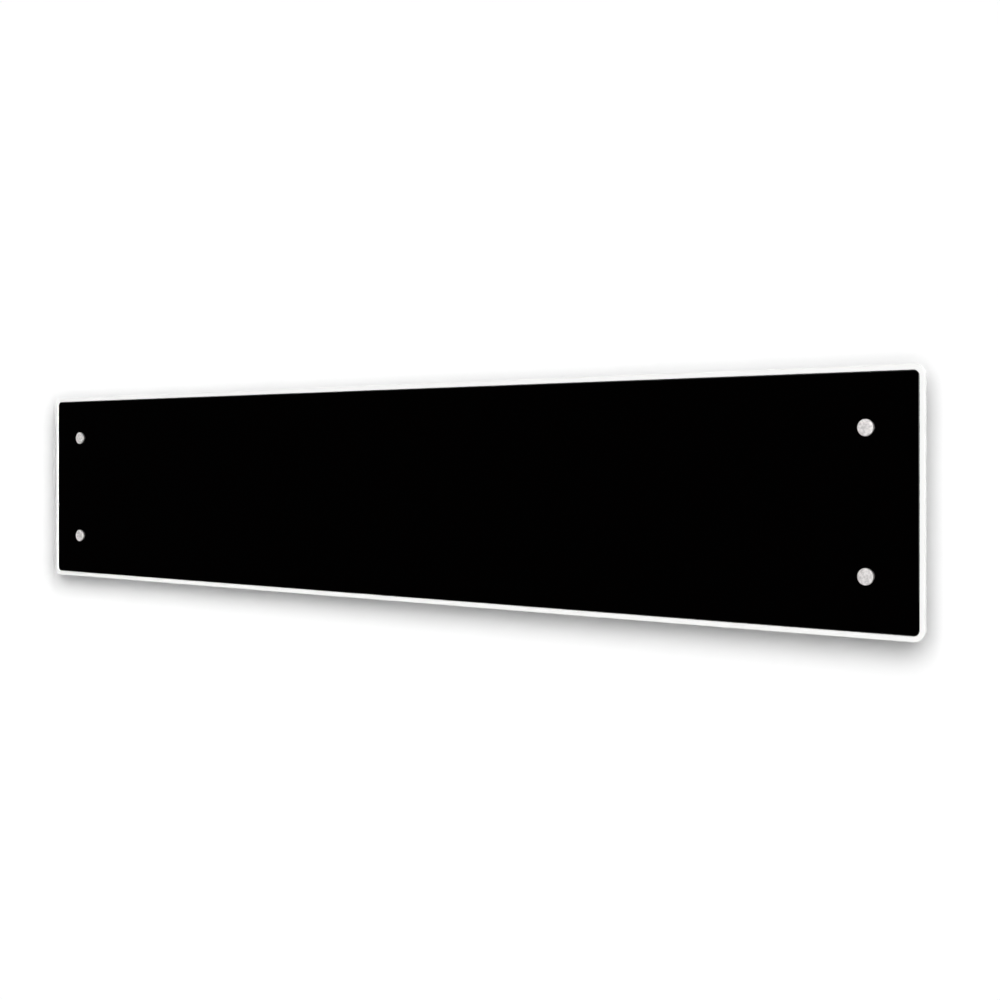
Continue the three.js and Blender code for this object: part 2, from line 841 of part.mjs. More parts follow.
function casingScrews() {
  const seat = trayBack + casingSheet;
  const profile = [
    [0, trayFloorFront + partGap], [screwShankRadius, trayFloorFront + partGap],
    [screwShankRadius, seat], [screwHeadRadius, seat],
    [screwHeadRadius, seat + screwHeadHeight / 2],
    [screwHeadRadius - screwHeadHeight / 2, seat + screwHeadHeight], [0, seat + screwHeadHeight],
  ];
  return screwPlaces().map(([x, z], i) => {
    const screw = piece(`casing_screw_${i + 1}`, turnedY(profile, smallSides), finishes.zincSteel);
    screw.position.set(x, 0, z);
    return screw;
  });
}

// Top grille

function grilleVane(middle) {
  const drop = grilleDepth - vaneThickness;
  const lean = drop * Math.tan(vaneLean);
  const half = vaneThickness / Math.cos(vaneLean) / 2;
  const bottom = casingHalfZ - drop;
  const outline = polygon([
    [middle - lean / 2 - half, casingHalfZ], [middle - lean / 2 + half, casingHalfZ],
    [middle + lean / 2 + half, bottom], [middle + lean / 2 - half, bottom],
  ]);
  return prismX(outline, outletLeft + grilleWall, outletRight - grilleWall);
}

function topGrille() {
  const middleX = (outletLeft + outletRight) / 2;
  const [outerX, outerY] = [outletRight - outletLeft - 2 * partGap, outletWidth - 2 * partGap];
  const plan = (grow, from, to) => block(
    [middleX - outerX / 2 - grow, middleX + outerX / 2 + grow],
    [casingMidY - outerY / 2 - grow, casingMidY + outerY / 2 + grow], [from, to],
  );
  const flange = plan(grilleFlangeWidth, casingHalfZ, casingHalfZ + grilleFlangeThickness);
  const collar = plan(0, casingHalfZ - grilleDepth, casingHalfZ + grilleFlangeThickness / 2);
  const well = plan(-grilleWall, casingHalfZ - grilleDepth - overrun, casingHalfZ + overrun);
  const clear = outerY - 2 * grilleWall;
  const vanes = Array.from({ length: vaneCount }, (_, i) => grilleVane(
    casingMidY - clear / 2 + (i + 0.5) * clear / vaneCount,
  ));
  const ribCount = Math.round((outerX - 2 * grilleWall) / crossRibPitch) - 1;
  const ribStep = (outerX - 2 * grilleWall) / (ribCount + 1);
  const ribs = Array.from({ length: ribCount }, (_, i) => {
    const x = middleX - outerX / 2 + grilleWall + (i + 1) * ribStep;
    return block(
      [x - crossRibThickness / 2, x + crossRibThickness / 2],
      [casingMidY - outerY / 2 + grilleWall / 2, casingMidY + outerY / 2 - grilleWall / 2],
      [casingHalfZ - grilleDepth, casingHalfZ - vaneThickness / 2],
    );
  });
  const frame = cut(join(flange, collar), well);
  return piece('top_grille', join(frame, pattern(vanes), pattern(ribs)), finishes.whiteSteel);
}

// Heat shield, element and what carries it

function heatShield() {
  const web = trayBack + shieldStandoff;
  const outer = casingInnerTop - shieldEdgeGap;
  const inner = outer - shieldFoot;
  const path = [
    [trayBack, outer], [trayBack, inner], [web, inner],
    [web, -inner], [trayBack, -inner], [trayBack, -outer],
  ];
  const sheet = prismX(bentSheet(path, shieldSheet), -fixingX + shieldEndGap, partitionX - shieldEndGap);
  return piece('heat_shield', sheet, finishes.aluminium);
}

function finOutline() {
  const [d, h, w] = [finDepth / 2, finHeight / 2, finWaistShare * finDepth / 2];
  return polygon([[d, h], [-d, h], [-w, 0], [-d, -h], [d, -h], [w, 0]]);
}

function heatingElement() {
  const coreLeft = elementLeft + coreEndGap;
  const coreRight = elementRight - coreEndGap;
  const core = prismX(disc(coreRadius), coreLeft, coreRight, coreSteps);
  const bore = prismX(disc(rodRadius + partGap), coreLeft - overrun, coreRight + overrun, coreSteps);
  const span = coreRight - coreLeft - 2 * coreBareEnd;
  const count = Math.floor(span / finPitch) + 1;
  const first = (coreLeft + coreRight) / 2 - (count - 1) * finPitch / 2;
  const fins = Array.from({ length: count }, (_, i) => {
    const x = first + i * finPitch;
    return prismX(finOutline(), x - finThickness / 2, x + finThickness / 2);
  });
  const element = piece('heating_element', cut(join(core, pattern(fins)), bore), finishes.aluminium);
  element.position.y = elementY;
  return element;
}

function elementRod() {
  const profile = [
    [0, rodLeft], [pinRadius, rodLeft], [pinRadius, rodLeft + pinLength], [rodRadius, rodLeft + pinLength],
    [rodRadius, rodRight - pinLength], [pinRadius, rodRight - pinLength],
    [pinRadius, rodRight], [0, rodRight],
  ];
  const rod = piece('element_rod', turnedX(profile, smallSides), finishes.rodSteel);
  rod.position.y = elementY;
  return rod;
}

function elementBracket(name) {
  const path = [
    [elementBracketFoot, casingInnerBack], [0, casingInnerBack], [0, elementY - finDepth / 2],
  ];
  const half = elementBracketHeight / 2;
  const plate = prismZ(bentSheet(path, elementBracketSheet), -half, half);
  const hole = prismX(
    disc(bushRadius + partGap, [elementY, 0]), -overrun, elementBracketSheet + overrun, holeSteps,
  );
  return piece(name, cut(plate, hole), finishes.zincSteel);
}

function elementBush(name) {
  const nose = elementBracketSheet + bushNose;
  const profile = [
    [rodRadius + partGap, -bushFlangeThickness], [bushFlangeRadius, -bushFlangeThickness],
    [bushFlangeRadius, 0], [bushRadius, 0], [bushRadius, nose], [rodRadius + partGap, nose],
    [rodRadius + partGap, -bushFlangeThickness],
  ];
  const bush = piece(name, turnedX(profile, smallSides), finishes.ceramic);
  bush.position.y = elementY;
  return bush;
}

function elementSupports() {
  return [['left', elementLeft], ['right', elementRight]].map(([side, x]) => {
    const support = group(elementBracket(`element_bracket_${side}`), elementBush(`element_bush_${side}`));
    support.position.x = x;
    return support;
  });
}

function partition() {
  const half = casingInnerTop;
  const path = [
    [partitionX + partitionFlange, half], [partitionX, half], [partitionX, -half],
    [partitionX + partitionFlange, -half],
  ];
  const sheet = prismY(bentSheet(path, partitionSheet), trayBack, casingInnerBack - partitionBackGap);
  const hole = prismX(
    roundSlot(leadHoleWidth, leadHoleHeight, [casingMidY, leadRowZ]),
    partitionX - overrun, partitionX + partitionSheet + overrun, slotSteps,
  );
  return piece('partition', cut(sheet, hole), finishes.zincSteel);
}

function thermalCutout() {
  const profile = [
    [0, -cutoutHeight - cutoutCapHeight], [cutoutCapRadius, -cutoutHeight - cutoutCapHeight],
    [cutoutCapRadius, -cutoutHeight], [cutoutRadius, -cutoutHeight], [cutoutRadius, 0], [0, 0],
  ];
  const cutout = piece('thermal_cutout', turnedX(profile, smallSides), finishes.zincSteel);
  cutout.position.set(partitionX, elementY, casingInnerTop - cutoutDrop);
  return cutout;
}

// Controls on top

function buttonOffset(i) {
  return firstButtonInset - housingLength / 2 + i * buttonPitch;
}

function controlHousing() {
  const [bodyX, bodyY] = [housingLength / 2, housingDepth / 2];
  const under = casingHalfZ - housingDrop;
  const bezel = prismZ(
    roundedRect(housingLength + 2 * bezelWidth, housingDepth + 2 * bezelWidth, bezelCornerRadius),
    casingHalfZ, bezelTop,
  );
  const body = block([-bodyX, bodyX], [-bodyY, bodyY], [under, casingHalfZ + bezelThickness / 2]);
  const hollow = block(
    [housingWall - bodyX, bodyX - housingWall], [housingWall - bodyY, bodyY - housingWall],
    [under - overrun, casingHalfZ],
  );
  const postX = controlBoardLength / 2 - boardPostInset;
  const postY = controlBoardDepth / 2 - boardPostInset;
  const posts = pattern([-1, 1].flatMap((sx) => [-1, 1].map((sy) => prismZ(
    disc(boardPostRadius, [sx * postX, sy * postY]), controlBoardTop, casingHalfZ + bezelThickness / 2,
  ))));
  const clipTop = casingInnerTop - partGap;
  const clips = pattern([-1, 1].map((side) => prismY(polygon([
    [side * (bodyX - housingWall / 2), clipTop], [side * (bodyX + clipProud), clipTop],
    [side * bodyX, clipTop - clipHeight], [side * (bodyX - housingWall / 2), clipTop - clipHeight],
  ]), -clipWidth / 2, clipWidth / 2)));
  const keys = buttonNames.map((_, i) => prismZ(
    roundedRect(
      buttonWidth + 2 * partGap, buttonDepth + 2 * partGap, buttonRadius + partGap, [buttonOffset(i), 0],
    ), casingHalfZ - overrun, bezelTop + overrun, smallCornerSteps,
  ));
  const view = block(
    [windowOffset - windowLength / 2 + windowLedge, windowOffset + windowLength / 2 - windowLedge],
    [windowLedge - windowDepth / 2, windowDepth / 2 - windowLedge],
    [casingHalfZ - overrun, bezelTop + overrun],
  );
  const rebate = block(
    [windowOffset - windowLength / 2 - partGap, windowOffset + windowLength / 2 + partGap],
    [-windowDepth / 2 - partGap, windowDepth / 2 + partGap], [bezelTop - windowThickness, bezelTop + overrun],
  );
  const shell = join(cut(join(bezel, body), hollow), posts, clips);
  return piece('control_housing', cut(shell, ...keys, view, rebate), finishes.blackPlastic);
}

function displayWindow() {
  const pane = block(
    [windowOffset - windowLength / 2, windowOffset + windowLength / 2],
    [-windowDepth / 2, windowDepth / 2], [bezelTop - windowThickness, bezelTop],
  );
  return piece('display_window', pane, finishes.displayGlass);
}

function displayModule() {
  const [halfX, halfY] = [windowLength / 2 - displayInset, windowDepth / 2 - displayInset];
  const module = block(
    [windowOffset - halfX, windowOffset + halfX], [-halfY, halfY],
    [controlBoardTop, casingHalfZ - partGap],
  );
  return piece('display_module', module, finishes.displayGlass);
}

function controlButton(name, i) {
  const flangeTop = casingHalfZ - partGap;
  const flangeBottom = flangeTop - buttonFlangeThickness;
  const keyTop = bezelTop + buttonProud;
  const stemBottom = controlBoardTop + keySwitchHeight + buttonTravel + partGap;
  const outline = roundedRect(buttonWidth, buttonDepth, buttonRadius);
  const key = prismZ(outline, flangeBottom, keyTop, smallCornerSteps);
  const grow = 2 * (partGap + buttonFlangeWidth);
  const flange = prismZ(
    roundedRect(buttonWidth + grow, buttonDepth + grow, buttonRadius), flangeBottom, flangeTop,
    smallCornerSteps,
  );
  const stem = prismZ(disc(buttonStemRadius), stemBottom, flangeTop);
  const button = piece(name, join(key, flange, stem), finishes.greyPlastic);
  button.position.x = buttonOffset(i);
  return button;
}

function controlBoard() {
  const board = block(
    [-controlBoardLength / 2, controlBoardLength / 2], [-controlBoardDepth / 2, controlBoardDepth / 2],
    [controlBoardTop - boardThickness, controlBoardTop],
  );
  const half = keySwitchSide / 2;
  const keySwitches = pattern(buttonNames.map((_, i) => block(
    [buttonOffset(i) - half, buttonOffset(i) + half], [-half, half],
    [controlBoardTop - boardThickness / 2, controlBoardTop + keySwitchHeight],
  )));
  return piece('control_board', join(board, keySwitches), finishes.circuitBoard);
}

function wirelessModule() {
  const under = controlBoardTop - boardThickness;
  const module = block(
    [windowOffset - wirelessLength / 2, windowOffset + wirelessLength / 2],
    [-wirelessDepth / 2, wirelessDepth / 2], [under - wirelessHeight, under],
  );
  return piece('wireless_module', module, finishes.zincSteel);
}

function controls() {
  const unit = group(
    controlHousing(), displayWindow(), displayModule(), controlBoard(), wirelessModule(),
    ...buttonNames.map(controlButton),
  );
  unit.position.set(housingX, casingMidY, 0);
  return unit;
}

// Electronics bay

function powerBoard() {
  const right = powerBoardLeft + powerBoardLength;
  const board = block(
    [powerBoardLeft, right], [boardFront, boardBack], [powerBoardBottom, powerBoardTop],
  );
  const edge = [boardFront - connectorDepth, boardFront + boardThickness / 2];
  const lower = block(
    [powerBoardLeft + standoffInset, right - standoffInset], edge,
    [powerBoardBottom, powerBoardBottom + connectorHeight],
  );
  const middle = housingX - topConnectorLength / 2;
  const upper = block(
    [middle - topConnectorLength / 2, middle + topConnectorLength / 2], edge,
    [powerBoardTop - connectorHeight, powerBoardTop],
  );
  return piece('power_board', join(board, lower, upper), finishes.circuitBoard);
}

function relay() {
  const left = powerBoardLeft + (powerBoardLength - relayLength) / 2;
  const box = prismY(
    roundedRect(relayLength, relayHeight, rimEdgeRound), boardFront - relayDepth, boardFront, 1,
  ).translate(left + relayLength / 2, 0, (powerBoardTop + powerBoardBottom) / 2);
  return piece('relay', box, finishes.blackPlastic);
}

function terminalBlock() {
  const body = block(
    [terminalLeft, terminalLeft + terminalLength],
    [casingMidY - terminalDepth / 2, casingMidY + terminalDepth / 2], [-casingInnerTop, terminalTop],
  );
  const wells = pattern([-1, 0, 1].map((i) => prismZ(
    disc(terminalScrewRadius), terminalTop - terminalScrewDepth, terminalTop + overrun,
  ).translate(
    terminalLeft + 2 * terminalLength / 3, casingMidY + i * terminalDepth / 3, 0,
  )));
  return piece('terminal_block', cut(body, wells), finishes.greyPlastic);
}

function cableGland() {
  const seat = -casingHalfZ;
  const flangeEnd = seat - glandFlangeHeight;
  const domeEnd = flangeEnd - glandDomeHeight;
  const threadTop = -casingInnerTop + glandThreadHeight;
  const profile = [
    [glandBore, threadTop], [glandThreadRadius, threadTop], [glandThreadRadius, seat],
    [glandFlangeRadius, seat], [glandFlangeRadius, flangeEnd], [glandDomeRadius, flangeEnd],
    [glandDomeRadius, domeEnd + glandDomeRound], [glandDomeRadius - glandDomeRound, domeEnd],
    [glandBore, domeEnd], [glandBore, threadTop],
  ];
  const gland = piece('cable_gland', turnedZ(profile, smallSides), finishes.blackPlastic);
  gland.position.set(glandX, casingMidY, 0);
  return gland;
}

function glandNut() {
  const ring = cut(
    prismZ(disc(nutRadius), -casingInnerTop, -casingInnerTop + nutHeight, cornerSteps),
    prismZ(
      disc(glandThreadRadius + partGap), -casingInnerTop - overrun, -casingInnerTop + nutHeight + overrun,
      holeSteps,
    ),
  );
  const nut = piece('gland_nut', ring, finishes.blackPlastic);
  nut.position.set(glandX, casingMidY, 0);
  return nut;
}

function sensorClip() {
  const half = clipBlockSide / 2;
  const body = block(
    [sensorX - clipBlockLength / 2, sensorX + clipBlockLength / 2],
    [casingMidY - half, casingMidY + half], [-casingInnerTop, sensorZ + half],
  );
  const bore = prismX(
    disc(sensorRadius + partGap, [casingMidY, sensorZ]),
    sensorX - clipBlockLength / 2 - overrun, sensorX + clipBlockLength / 2 + overrun, holeSteps,
  );
  const mouth = block(
    [sensorX - clipBlockLength / 2 - overrun, sensorX + clipBlockLength / 2 + overrun],
    [casingMidY - sensorRadius / 2, casingMidY + sensorRadius / 2], [sensorZ, sensorZ + clipBlockSide],
  );
  return piece('sensor_clip', cut(body, bore, mouth), finishes.greyPlastic);
}

function roomSensor() {
  const profile = [
    [0, -sensorLength / 2], [sensorRadius, -sensorLength / 2],
    [sensorRadius, sensorLength / 2 - sensorRadius / 2], [sensorRadius / 2, sensorLength / 2],
    [0, sensorLength / 2],
  ];
  const sensor = piece('room_sensor', turnedX(profile, smallSides), finishes.blackPlastic);
  sensor.position.set(sensorX, casingMidY, sensorZ);
  return sensor;
}

// Leads

// From the rod's left pin down behind the bracket, then along the bottom to the terminal block
function returnLead() {
  const start = rodLeft - partGap;
  const [side, y] = [start - leadBend / 2, leadRowY[0]];
  const straight = start + 2 * leadBend;
  const bend = bentLead([
    [start, elementY, 0], [start - leadBend / 3, elementY, 0], [side, elementY, -leadBend],
    [side, y, leadRowZ + 2 * leadBend], [start, y, leadRowZ + leadBend / 3],
    [start + leadBend, y, leadRowZ], [straight, y, leadRowZ],
  ]);
  const run = prismX(disc(leadRadius, [y, leadRowZ]), straight - leadRadius, terminalLeft - partGap);
  return join(bend, run);
}

function liveLead() {
  const start = rodRight + partGap;
  const [side, y] = [start + leadBend / 2, leadRowY[1]];
  return bentLead([
    [start, elementY, 0], [start + leadBend / 3, elementY, 0], [side, elementY, -leadBend],
    [side, y, leadRowZ + 2 * leadBend], [start + leadBend, y, leadRowZ + leadBend / 3],
    [start + 2 * leadBend, y, leadRowZ], [terminalLeft - partGap, y, leadRowZ],
  ]);
}

function controlLead() {
  const x = housingX - topConnectorLength / 2;
  const top = controlBoardTop - boardThickness - partGap;
  const bottom = powerBoardTop + partGap;
  const inner = casingMidY + controlBoardDepth / 2 - 2 * leadRadius;
  return bentLead([
    [x, inner, top], [x, inner, top - leadBend], [x, connectorY, bottom + leadBend], [x, connectorY, bottom],
  ]);
}

// From the supply terminals straight up to the power board's lower connector
function supplyLead() {
  const x = terminalLeft + terminalLength / 4;
  return prismZ(disc(leadRadius, [x, connectorY]), terminalTop + partGap, powerBoardBottom - partGap);
}

function sensorLead() {
  const start = sensorX - sensorLength / 2 - partGap;
  const end = powerBoardLeft + powerBoardLength - 2 * standoffInset;
  return bentLead([
    [start, casingMidY, sensorZ], [start - leadBend / 3, casingMidY, sensorZ],
    [end, connectorY, sensorZ + leadBend / 2], [end, connectorY, powerBoardBottom - partGap],
  ]);
}

function leads() {
  return [
    ['lead_return', returnLead()], ['lead_live', liveLead()], ['lead_control', controlLead()],
    ['lead_supply', supplyLead()], ['lead_sensor', sensorLead()],
  ].map(([name, geometry]) => piece(name, geometry, finishes.leadSleeve));
}

// Power switch: its rocker rests tipped to one side of a pivot along Y

function switchBody() {
  const bezel = prismX(
    roundedRect(switchBezelWidth, switchBezelHeight, rimEdgeRound), endPlateOuter, switchFace,
  );
  const body = block(
    [endPlateOuter - switchBodyLength, endPlateOuter + switchBezelThickness / 2],
    [-switchBodyWidth / 2, switchBodyWidth / 2], [-switchBodyHeight / 2, switchBodyHeight / 2],
  );
  const wellZ = rockerHalfLength + rockerEndGap;
  const wellY = rockerWidth / 2 + partGap;
  const well = block(
    [pivotX - rockerKeel - rockerKeelGap, switchFace + overrun], [-wellY, wellY], [-wellZ, wellZ],
  );
  const pivotHole = prismY(
    disc(pivotRadius + partGap, [pivotX, 0]), -wellY - pivotReach, wellY + pivotReach, cornerSteps,
  );
  return piece('switch_body', cut(join(bezel, body), well, pivotHole), finishes.blackPlastic);
}

function powerRocker() {
  const valley = pivotDepth + rockerCrest;
  const crest = valley + rockerHalfLength * Math.tan(rockerTilt);
  const heel = rockerHalfLength * rockerHeelShare;
  const outline = polygon([
    [crest, rockerHalfLength], [-rockerKeel, heel], [-rockerKeel, -heel], [crest, -rockerHalfLength],
    [valley, 0],
  ]);
  const body = prismY(outline, -rockerWidth / 2, rockerWidth / 2);
  const reach = rockerWidth / 2 + pivotReach;
  const pin = prismY(disc(pivotRadius), -reach, reach);
  const rocker = piece('power_rocker', join(body, pin), finishes.greyPlastic);
  rocker.position.x = pivotX;
  rocker.rotation.y = rockerTilt;
  return rocker;
}

function powerSwitch() {
  const unit = group(switchBody(), powerRocker());
  unit.position.set(0, casingMidY, -switchDrop);
  return unit;
}

// Assembly

function wallBracket() {
  return group(bracketRail(), ...sides.map(([name, side]) => bracketArm(`bracket_arm_${name}`, side)));
}

function heater() {
  return group(
    glassFrontPanel(), frontTray(),
    beddingStrip('bedding_strip_top', 1), beddingStrip('bedding_strip_bottom', -1),
    ...corners.map(glassFixing),
    rearCasing(), endPanelLeft(), endPanelRight(), ...casingScrews(), topGrille(),
    heatShield(), heatingElement(), elementRod(), ...elementSupports(), partition(), thermalCutout(),
    controls(), powerBoard(), relay(), terminalBlock(), cableGland(), glandNut(),
    sensorClip(), roomSensor(), ...leads(), powerSwitch(),
  );
}

export default group(wallBracket(), heater());
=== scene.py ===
"""Glass panel heater on its wall bracket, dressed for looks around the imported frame.

Blender works in metres: X runs along the width, -Y points into the room and +Z is up, and the
wall is the plane y = 0. Shapes are drawn in millimetres and become metres in Shape.piece, and
the lengths that go into a Repeat tree become metres in Repeat.run.
"""

import json
import logging
import math
from dataclasses import dataclass, field
from enum import Enum
from typing import Sequence

import bmesh
import bpy
from mathutils import Euler, Matrix, Vector
from mathutils.geometry import tessellate_polygon


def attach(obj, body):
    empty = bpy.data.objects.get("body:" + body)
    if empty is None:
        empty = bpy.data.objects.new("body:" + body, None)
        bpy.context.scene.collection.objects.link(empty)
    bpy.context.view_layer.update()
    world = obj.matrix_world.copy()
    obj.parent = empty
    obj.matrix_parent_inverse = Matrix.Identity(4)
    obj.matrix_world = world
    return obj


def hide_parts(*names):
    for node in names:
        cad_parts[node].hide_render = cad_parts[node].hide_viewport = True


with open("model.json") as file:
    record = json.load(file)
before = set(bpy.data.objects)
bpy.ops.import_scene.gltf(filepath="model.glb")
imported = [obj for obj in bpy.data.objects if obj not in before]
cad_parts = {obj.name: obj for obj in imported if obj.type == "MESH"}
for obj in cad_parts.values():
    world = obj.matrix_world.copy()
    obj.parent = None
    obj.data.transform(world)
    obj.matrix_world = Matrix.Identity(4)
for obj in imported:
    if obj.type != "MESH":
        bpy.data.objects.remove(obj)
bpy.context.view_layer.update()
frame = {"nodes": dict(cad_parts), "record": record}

LOG = logging.getLogger("heater")

# MM is a millimetre in metres. The lengths below it are in millimetres, the angles in radians.
MM = 0.001
MERGE_DISTANCE = 0.002
MARK_SUNK = 0.1
MARK_PROUD = 0.12
MARK_EDGE = 0.04
FLAT_ANGLE = math.radians(0.3)
SHARP_ANGLE = math.radians(40)
SMOOTH_ANGLE = math.radians(32)
QUARTER = math.pi / 2

Flat = tuple[float, float]
Place = tuple[float, float, float]
Colour = tuple[float, float, float]
Outline = list[Flat]
Socket = bpy.types.NodeSocket

WHITE: Colour = (1.0, 1.0, 1.0)
BLACK: Colour = (0.0, 0.0, 0.0)


class Facing(Enum):
    """The way that a drawn outline faces once it is a plate or a turned piece.

    Each value holds the rows of a turn that takes (across, up, out) to (x, y, z).
    """

    UP = ((1, 0, 0), (0, 1, 0), (0, 0, 1))
    FRONT = ((1, 0, 0), (0, 0, -1), (0, 1, 0))
    BACK = ((-1, 0, 0), (0, 0, 1), (0, 1, 0))
    RIGHT = ((0, 0, 1), (1, 0, 0), (0, 1, 0))

    def turn(self) -> Matrix:
        """Give the turn as a 4 by 4 matrix."""
        return Matrix(self.value).to_4x4()


class NodeGraph:
    """Adds nodes and links to one material, world, lamp or geometry tree.

    noise_range is where most of a noise lies. mix_inputs and mix_output are the places of a Mix
    node's sockets for its share and its colours.
    """

    noise_range: Flat = (0.3, 0.7)
    mix_inputs: tuple[int, ...] = (0, 6, 7)
    mix_output: int = 2

    def __init__(self, tree: bpy.types.NodeTree) -> None:
        """Keep the tree that the nodes go into."""
        self.tree = tree

    def add(self, kind: str, **settings: object) -> bpy.types.Node:
        """Add a node.

        Args:
            kind: Blender's name for the node type.
            settings: Values for the node's own properties.

        Returns:
            The new node.
        """
        node = self.tree.nodes.new(kind)
        for name, value in settings.items():
            setattr(node, name, value)
        return node

    def first(self, kind: str) -> bpy.types.Node:
        """Give the first node of a type that the tree already has."""
        return next(node for node in self.tree.nodes if node.type == kind)

    def link(self, source: Socket, target: Socket) -> None:
        """Join an output to an input."""
        self.tree.links.new(source, target)

    def put(self, value: object, target: Socket) -> None:
        """Bring a value into an input.

        Args:
            value: An output socket to link, or a plain value.
            target: The input.
        """
        if isinstance(value, bpy.types.NodeSocket):
            self.link(value, target)
        else:
            target.default_value = value

    def fill(self, node: bpy.types.Node, **values: object) -> bpy.types.Node:
        """Set a node's inputs by name, with a space for each underscore.

        Args:
            node: The node whose inputs are set.
            values: Output sockets or plain values.

        Returns:
            The same node.
        """
        for name, value in values.items():
            self.put(value, node.inputs[name.replace("_", " ")])
        return node

    def feed(self, node: bpy.types.Node, *values: object) -> bpy.types.Node:
        """Set a node's inputs in their own order.

        Args:
            node: The node whose first inputs are set.
            values: Output sockets or plain values.

        Returns:
            The same node.
        """
        for value, socket in zip(values, node.inputs):
            self.put(value, socket)
        return node

    def calculate(self, operation: str, *terms: object) -> Socket:
        """Give a Math node's result; each term is an output socket or a plain number."""
        return self.feed(self.add("ShaderNodeMath", operation=operation), *terms).outputs[0]

    def place(self, stretch: Place = (1.0, 1.0, 1.0)) -> Socket:
        """Give the object's own coordinates, stretched along each axis."""
        source = self.add("ShaderNodeTexCoord").outputs["Object"]
        return self.fill(self.add("ShaderNodeMapping"), Vector=source, Scale=stretch).outputs[0]

    def noise(self, place: Socket, scale: float, octaves: float = 2.0) -> Socket:
        """Give a noise from 0 to 1 that has scale grains to the metre."""
        node = self.add("ShaderNodeTexNoise")
        return self.fill(node, Vector=place, Scale=scale, Detail=octaves).outputs[0]

    def ramp(self, share: Socket, between: Flat, low: Colour, high: Colour) -> Socket:
        """Give a colour that follows a share.

        Args:
            share: What the colour follows.
            between: The shares at which it starts and ends its change.
            low: The colour before that change.
            high: The colour after it.

        Returns:
            The colour's socket.
        """
        node = self.add("ShaderNodeValToRGB")
        for element, place, colour in zip(node.color_ramp.elements, between, (low, high)):
            element.position = place
            element.color = (*colour, 1.0)
        return self.feed(node, share).outputs[0]

    def mix(self, share: Socket, under: Socket, over: Colour) -> Socket:
        """Lay a plain colour over another.

        Args:
            share: How much of the plain colour shows.
            under: The other colour's socket.
            over: The plain colour.

        Returns:
            The mixed colour's socket.
        """
        node = self.add("ShaderNodeMix", data_type="RGBA")
        for place, value in zip(self.mix_inputs, (share, under, (*over, 1.0))):
            self.put(value, node.inputs[place])
        return node.outputs[self.mix_output]

    def spread(self, noise: Socket, low: float, high: float) -> Socket:
        """Spread noise_range over the values from low to high."""
        node = self.add("ShaderNodeMapRange")
        return self.feed(node, noise, *self.noise_range, low, high).outputs[0]

    def axis(self, vector: Socket, name: str) -> Socket:
        """Give one part of a vector."""
        return self.feed(self.add("ShaderNodeSeparateXYZ"), vector).outputs[name]

    def bump(self, height: Socket, depth: float, under: Socket | None = None) -> Socket:
        """Give the normal of an uneven surface.

        Args:
            height: The surface's height, from 0 to 1.
            depth: How many metres a height of 1 stands for.
            under: The normal of a second unevenness that this one lies on.

        Returns:
            The normal's socket.
        """
        node = self.fill(self.add("ShaderNodeBump"), Height=height, Strength=1.0, Distance=depth)
        if under is not None:
            self.link(under, node.inputs["Normal"])
        return node.outputs[0]


@dataclass(frozen=True)
class Finish:
    """One surface finish: the record slot that it stands for and its shader's values.

    uneven is how far the roughness falls and rises with the grain. In each kind of finish, a
    pattern's scale is in grains to the metre and its depth in metres. A field that ends in
    between holds the shares of a pattern at which the colour changes, and one that ends in tones
    the two shades that it takes, as shares of the finish's own colour.
    """

    name: str
    slot: str
    colour: Colour
    roughness: float
    metallic: float = 0.0
    uneven: Flat = (0.05, 0.07)

    def material(self) -> bpy.types.Material:
        """Give the finish's material, made at its first use.

        Returns:
            The material.
        """
        found = bpy.data.materials.get(self.name)
        if found is not None:
            return found
        made = bpy.data.materials.new(self.name)
        made.use_nodes = True
        graph = NodeGraph(made.node_tree)
        shader = graph.first("BSDF_PRINCIPLED")
        colour = (*self.colour, 1.0)
        graph.fill(shader, Base_Color=colour, Roughness=self.roughness, Metallic=self.metallic)
        self.detail(graph, shader)
        return made

    def detail(self, graph: NodeGraph, shader: bpy.types.Node) -> None:
        """Add the finish's own grain to its shader."""
        raise NotImplementedError

    def tone(self, share: float) -> Colour:
        """Give the finish's colour, darker or lighter by a share of itself."""
        return tuple(min(1.0, part * share) for part in self.colour)

    def toned(self, graph: NodeGraph, share: Socket, between: Flat, tones: Flat) -> Socket:
        """Give a colour that follows a share from one tone of the finish's own to another."""
        return graph.ramp(share, between, *(self.tone(tone) for tone in tones))

    def sheen(self, graph: NodeGraph, grain: Socket) -> Socket:
        """Give a roughness that follows a grain and is uneven about the finish's own."""
        smoother, rougher = self.uneven
        return graph.spread(grain, self.roughness - smoother, self.roughness + rougher)


@dataclass(frozen=True)
class PowderCoat(Finish):
    """Baked powder paint with its fine orange peel."""

    uneven: Flat = (0.04, 0.05)
    peel: float = 620.0
    peel_depth: float = 0.00002
    drift: float = 9.0
    drift_between: Flat = (0.35, 0.65)
    drift_tones: Flat = (0.985, 1.0)
    sheen_patch: float = 90.0

    def detail(self, graph: NodeGraph, shader: bpy.types.Node) -> None:
        """Add the peel, the paint's slow drift in tone and its uneven sheen.

        Args:
            graph: The material's graph.
            shader: Its shader.
        """
        place = graph.place()
        peel = graph.noise(place, self.peel, octaves=3.0)
        drift = graph.noise(place, self.drift, octaves=3.0)
        colour = self.toned(graph, drift, self.drift_between, self.drift_tones)
        sheen = self.sheen(graph, graph.noise(place, self.sheen_patch))
        normal = graph.bump(peel, self.peel_depth)
        graph.fill(shader, Base_Color=colour, Roughness=sheen, Normal=normal)


